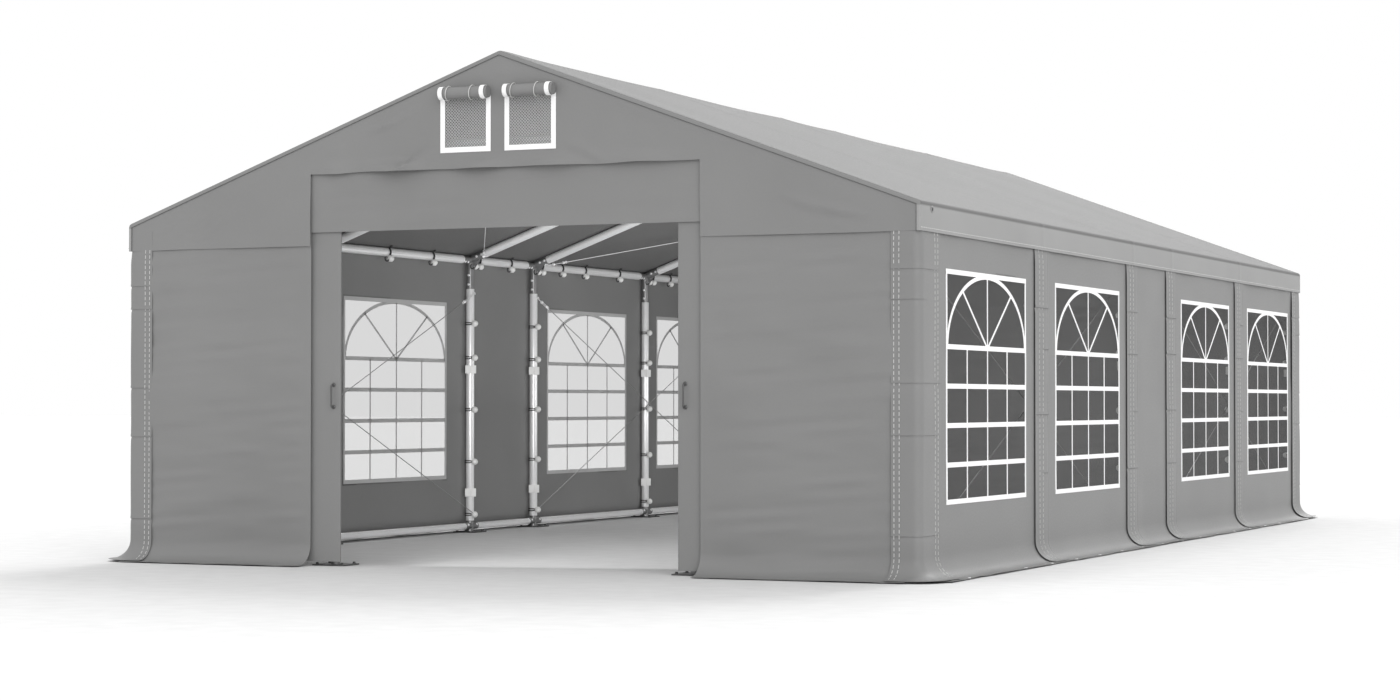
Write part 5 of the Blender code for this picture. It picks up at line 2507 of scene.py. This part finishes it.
@dataclass
class Bracing(Assembly):
    """Crossed wires with turnbuckles: in the side walls and under the roof, over the end bays."""

    wire_r: float = 0.003
    low: float = 0.130
    high: float = 1.740
    body_length: float = 0.105
    body_from: float = 0.060
    eave_end: Pair = (0.110, 0.005)
    ridge_end: Pair = (0.100, 0.075)
    crossing: float = 0.004

    def build(self) -> None:
        """Builds the wires, turnbuckles and eyes."""
        plan, palette = self.plan, self.palette
        near = plan.post_x - plan.tube_r - plan.fit - self.wire_r
        far = near - 2 * self.wire_r - plan.fit
        lines = plan.post_lines
        bays = [(side, place, ends) for side in Side
                for place, ends in (("front", (lines[0], lines[2])), ("rear", (lines[3], lines[5])))]
        buckles = []
        for side, place, ends in bays:
            for slant, x, ys in (("rising", near, ends[::-1]), ("falling", far, ends)):
                top, foot = (Vector((side.value * x, y, z)) for y, z in zip(ys, (self.high, self.low)))
                word = f"{side.word}_{place}_{slant}"
                buckles.append(self.add_wire(f"wire_{word}", top, foot, palette.wire, [f"brace_{word}"]))
        for side, place, ends in bays:
            slants = (("rising", ends, -self.crossing), ("falling", ends[::-1], self.crossing))
            for slant, (a, b), lift in slants:
                (inset, up), (out, down) = self.eave_end, self.ridge_end
                eave = Vector((side.value * (plan.post_x - inset), a, plan.eave_z + up + lift))
                ridge = Vector((side.value * out, b, plan.ridge_z - down + lift))
                word = f"{side.word}_{place}_{slant}"
                buckles.append(self.add_wire(f"roof_wire_{word}", eave, ridge, palette.steel))
        self.build_turnbuckles(buckles)

    def add_wire(self, name: str, top: Vector, foot: Vector, finish: Material, nodes: Names = ()) -> Matrix:
        """Builds one wire below its turnbuckle.

        Args:
            name: The piece's name.
            top: Where the turnbuckle's hook sits.
            foot: The wire's lower end.
            finish: Its material.
            nodes: The CAD nodes that it stands for.

        Returns:
            The turnbuckle's place.
        """
        run = (foot - top).normalized()
        start = top + run * (self.body_from + self.body_length)
        self.shop.add_rods(name, [[start, foot]], self.wire_r, finish, 8, nodes=nodes, slot="steel_wire")
        return turned(top, run, (0, 0, 1))

    def build_turnbuckles(self, spots: Sequence[Matrix]) -> None:
        """Builds the turnbuckles, each with a hook above it and an eye below it.

        Args:
            spots: Where the hook of each one sits.
        """
        shape = Shape()
        a, b = self.body_from, self.body_from + self.body_length
        for dy in (-0.008, 0.008):
            shape.sweep([(0, dy, a + 0.006), (0, dy, b - 0.006)], 0.0032, 8)
        for z in (a, b - 0.014):
            shape.lathe([(0, z), (0.011, z), (0.012, z + 0.002), (0.012, z + 0.012), (0.011, z + 0.014),
                         (0, z + 0.014)], None, 14)
        hook = [(0.0, 0, 0.014), (0.010, 0, 0.006), (0.012, 0, -0.006), (0.004, 0, -0.014),
                (-0.007, 0, -0.010)]
        eye = [(x, 0, b + 0.018 + z) for x, z in circle(0.008, 16)]
        shape.sweep([(0, 0, 0.012), (0, 0, a + 0.02)], 0.0035, 8)
        shape.sweep(smoothed(hook, 4), 0.0032, 8)
        shape.sweep([(0, 0, b - 0.03), (0, 0, b + 0.012)], 0.0035, 8)
        shape.sweep(eye, 0.0028, 8)
        self.shop.add_copies("turnbuckles", shape.mesh("turnbuckle"), spots, self.palette.steel)


@dataclass
class Studio:
    """The pale floor, the soft light and the camera at the photograph's angle."""

    palette: Palette
    camera_place: Spot = (7.511, -18.599, 0.944)
    tilt: float = 1.08
    yaw: float = 24.19
    lens: float = 72.3
    sensor: float = 36.0
    floor_half: float = 150.0
    sky: float = 1.0
    suns: tuple[tuple[str, float, float, Spot], ...] = (
        ("back", 1.6, 30.0, (-0.03, 1.0, 0.9)), ("front", 0.88, 40.0, (0.68, -0.72, 0.40)))
    fills: tuple[tuple, ...] = (
        ("fill_down", (0.0, -1.0, 2.20), (3.0, 6.0), (0.0, 0.0, 0.0), 10.0, 180.0),
        ("fill_up", (0.0, -1.0, 0.90), (3.0, 6.0), (math.pi, 0.0, 0.0), 42.0, 180.0),
        ("fill_door", (0.3, -4.3, 1.05), (2.0, 2.0), (math.pi / 2, 0.0, 0.22), 33.0, 90.0),
        ("fill_side", (1.9, 2.5, 1.05), (1.5, 3.5), (0.0, math.pi / 2, 0.0), 22.0, 110.0))

    def build(self) -> None:
        """Sets up the studio."""
        self.build_floor()
        self.build_light()
        self.build_camera()

    def build_floor(self) -> None:
        """Lays the floor just under the tent."""
        half = self.floor_half
        mesh = bpy.data.meshes.new("floor")
        corners = [(x * half, y * half, -0.001) for x, y in ((-1, -1), (1, -1), (1, 1), (-1, 1))]
        mesh.from_pydata(corners, [], [(0, 1, 2, 3)])
        mesh.materials.append(self.palette.floor)
        linked("studio_floor", mesh)

    def build_light(self) -> None:
        """Sets an even white surround, two broad lights and soft panels inside the tent."""
        scene = bpy.context.scene
        world = bpy.data.worlds.new("studio")
        world.use_nodes = True
        surround = world.node_tree.nodes["Background"]
        surround.inputs["Color"].default_value = (1.0, 1.0, 1.0, 1.0)
        surround.inputs["Strength"].default_value = self.sky
        scene.world = world
        scene.view_settings.view_transform = "Standard"
        for name, energy, spread, direction in self.suns:
            light = bpy.data.lights.new(name, "SUN")
            light.energy, light.angle = energy, math.radians(spread)
            linked(name, light).rotation_euler = Vector(direction).to_track_quat("Z", "Y").to_euler()
        for name, place, size, turn, power, spread in self.fills:
            soft = bpy.data.lights.new(name, "AREA")
            soft.shape = "RECTANGLE"
            soft.size, soft.size_y = size
            soft.energy, soft.spread = power, math.radians(spread)
            panel = linked(name, soft)
            panel.location, panel.rotation_euler = place, turn
            panel.visible_camera = False

    def build_camera(self) -> None:
        """Places the camera."""
        data = bpy.data.cameras.new("camera")
        data.lens, data.sensor_width = self.lens, self.sensor
        data.clip_end = 500.0
        camera = linked("camera", data)
        camera.location = self.camera_place
        camera.rotation_euler = (math.radians(90 + self.tilt), 0.0, math.radians(self.yaw))
        bpy.context.scene.camera = camera


def main() -> None:
    """Builds the whole scene."""
    logging.basicConfig(level=logging.INFO, format="%(message)s")
    for item in list(bpy.data.objects):
        bpy.data.objects.remove(item)
    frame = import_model()
    LOG.info("%d nodes in the frame", len(frame["nodes"]))
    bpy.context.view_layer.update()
    plan, palette = TentPlan(), mix_palette()
    shop = Workshop(plan, palette)
    Studio(palette).build()
    Framework(shop).build()
    BallTies(shop).build()
    Bracing(shop).build()
    RoofCover(shop).build()
    for end in End:
        GableEnd(shop, end).build()
    for side in Side:
        SideWall(shop, side).build()
    EndWall(shop).build()
    DoorLeaf(shop, Side.LEFT, -1.052).build()
    DoorLeaf(shop, Side.RIGHT, 1.095).build()


if __name__ == "__main__":
    main()
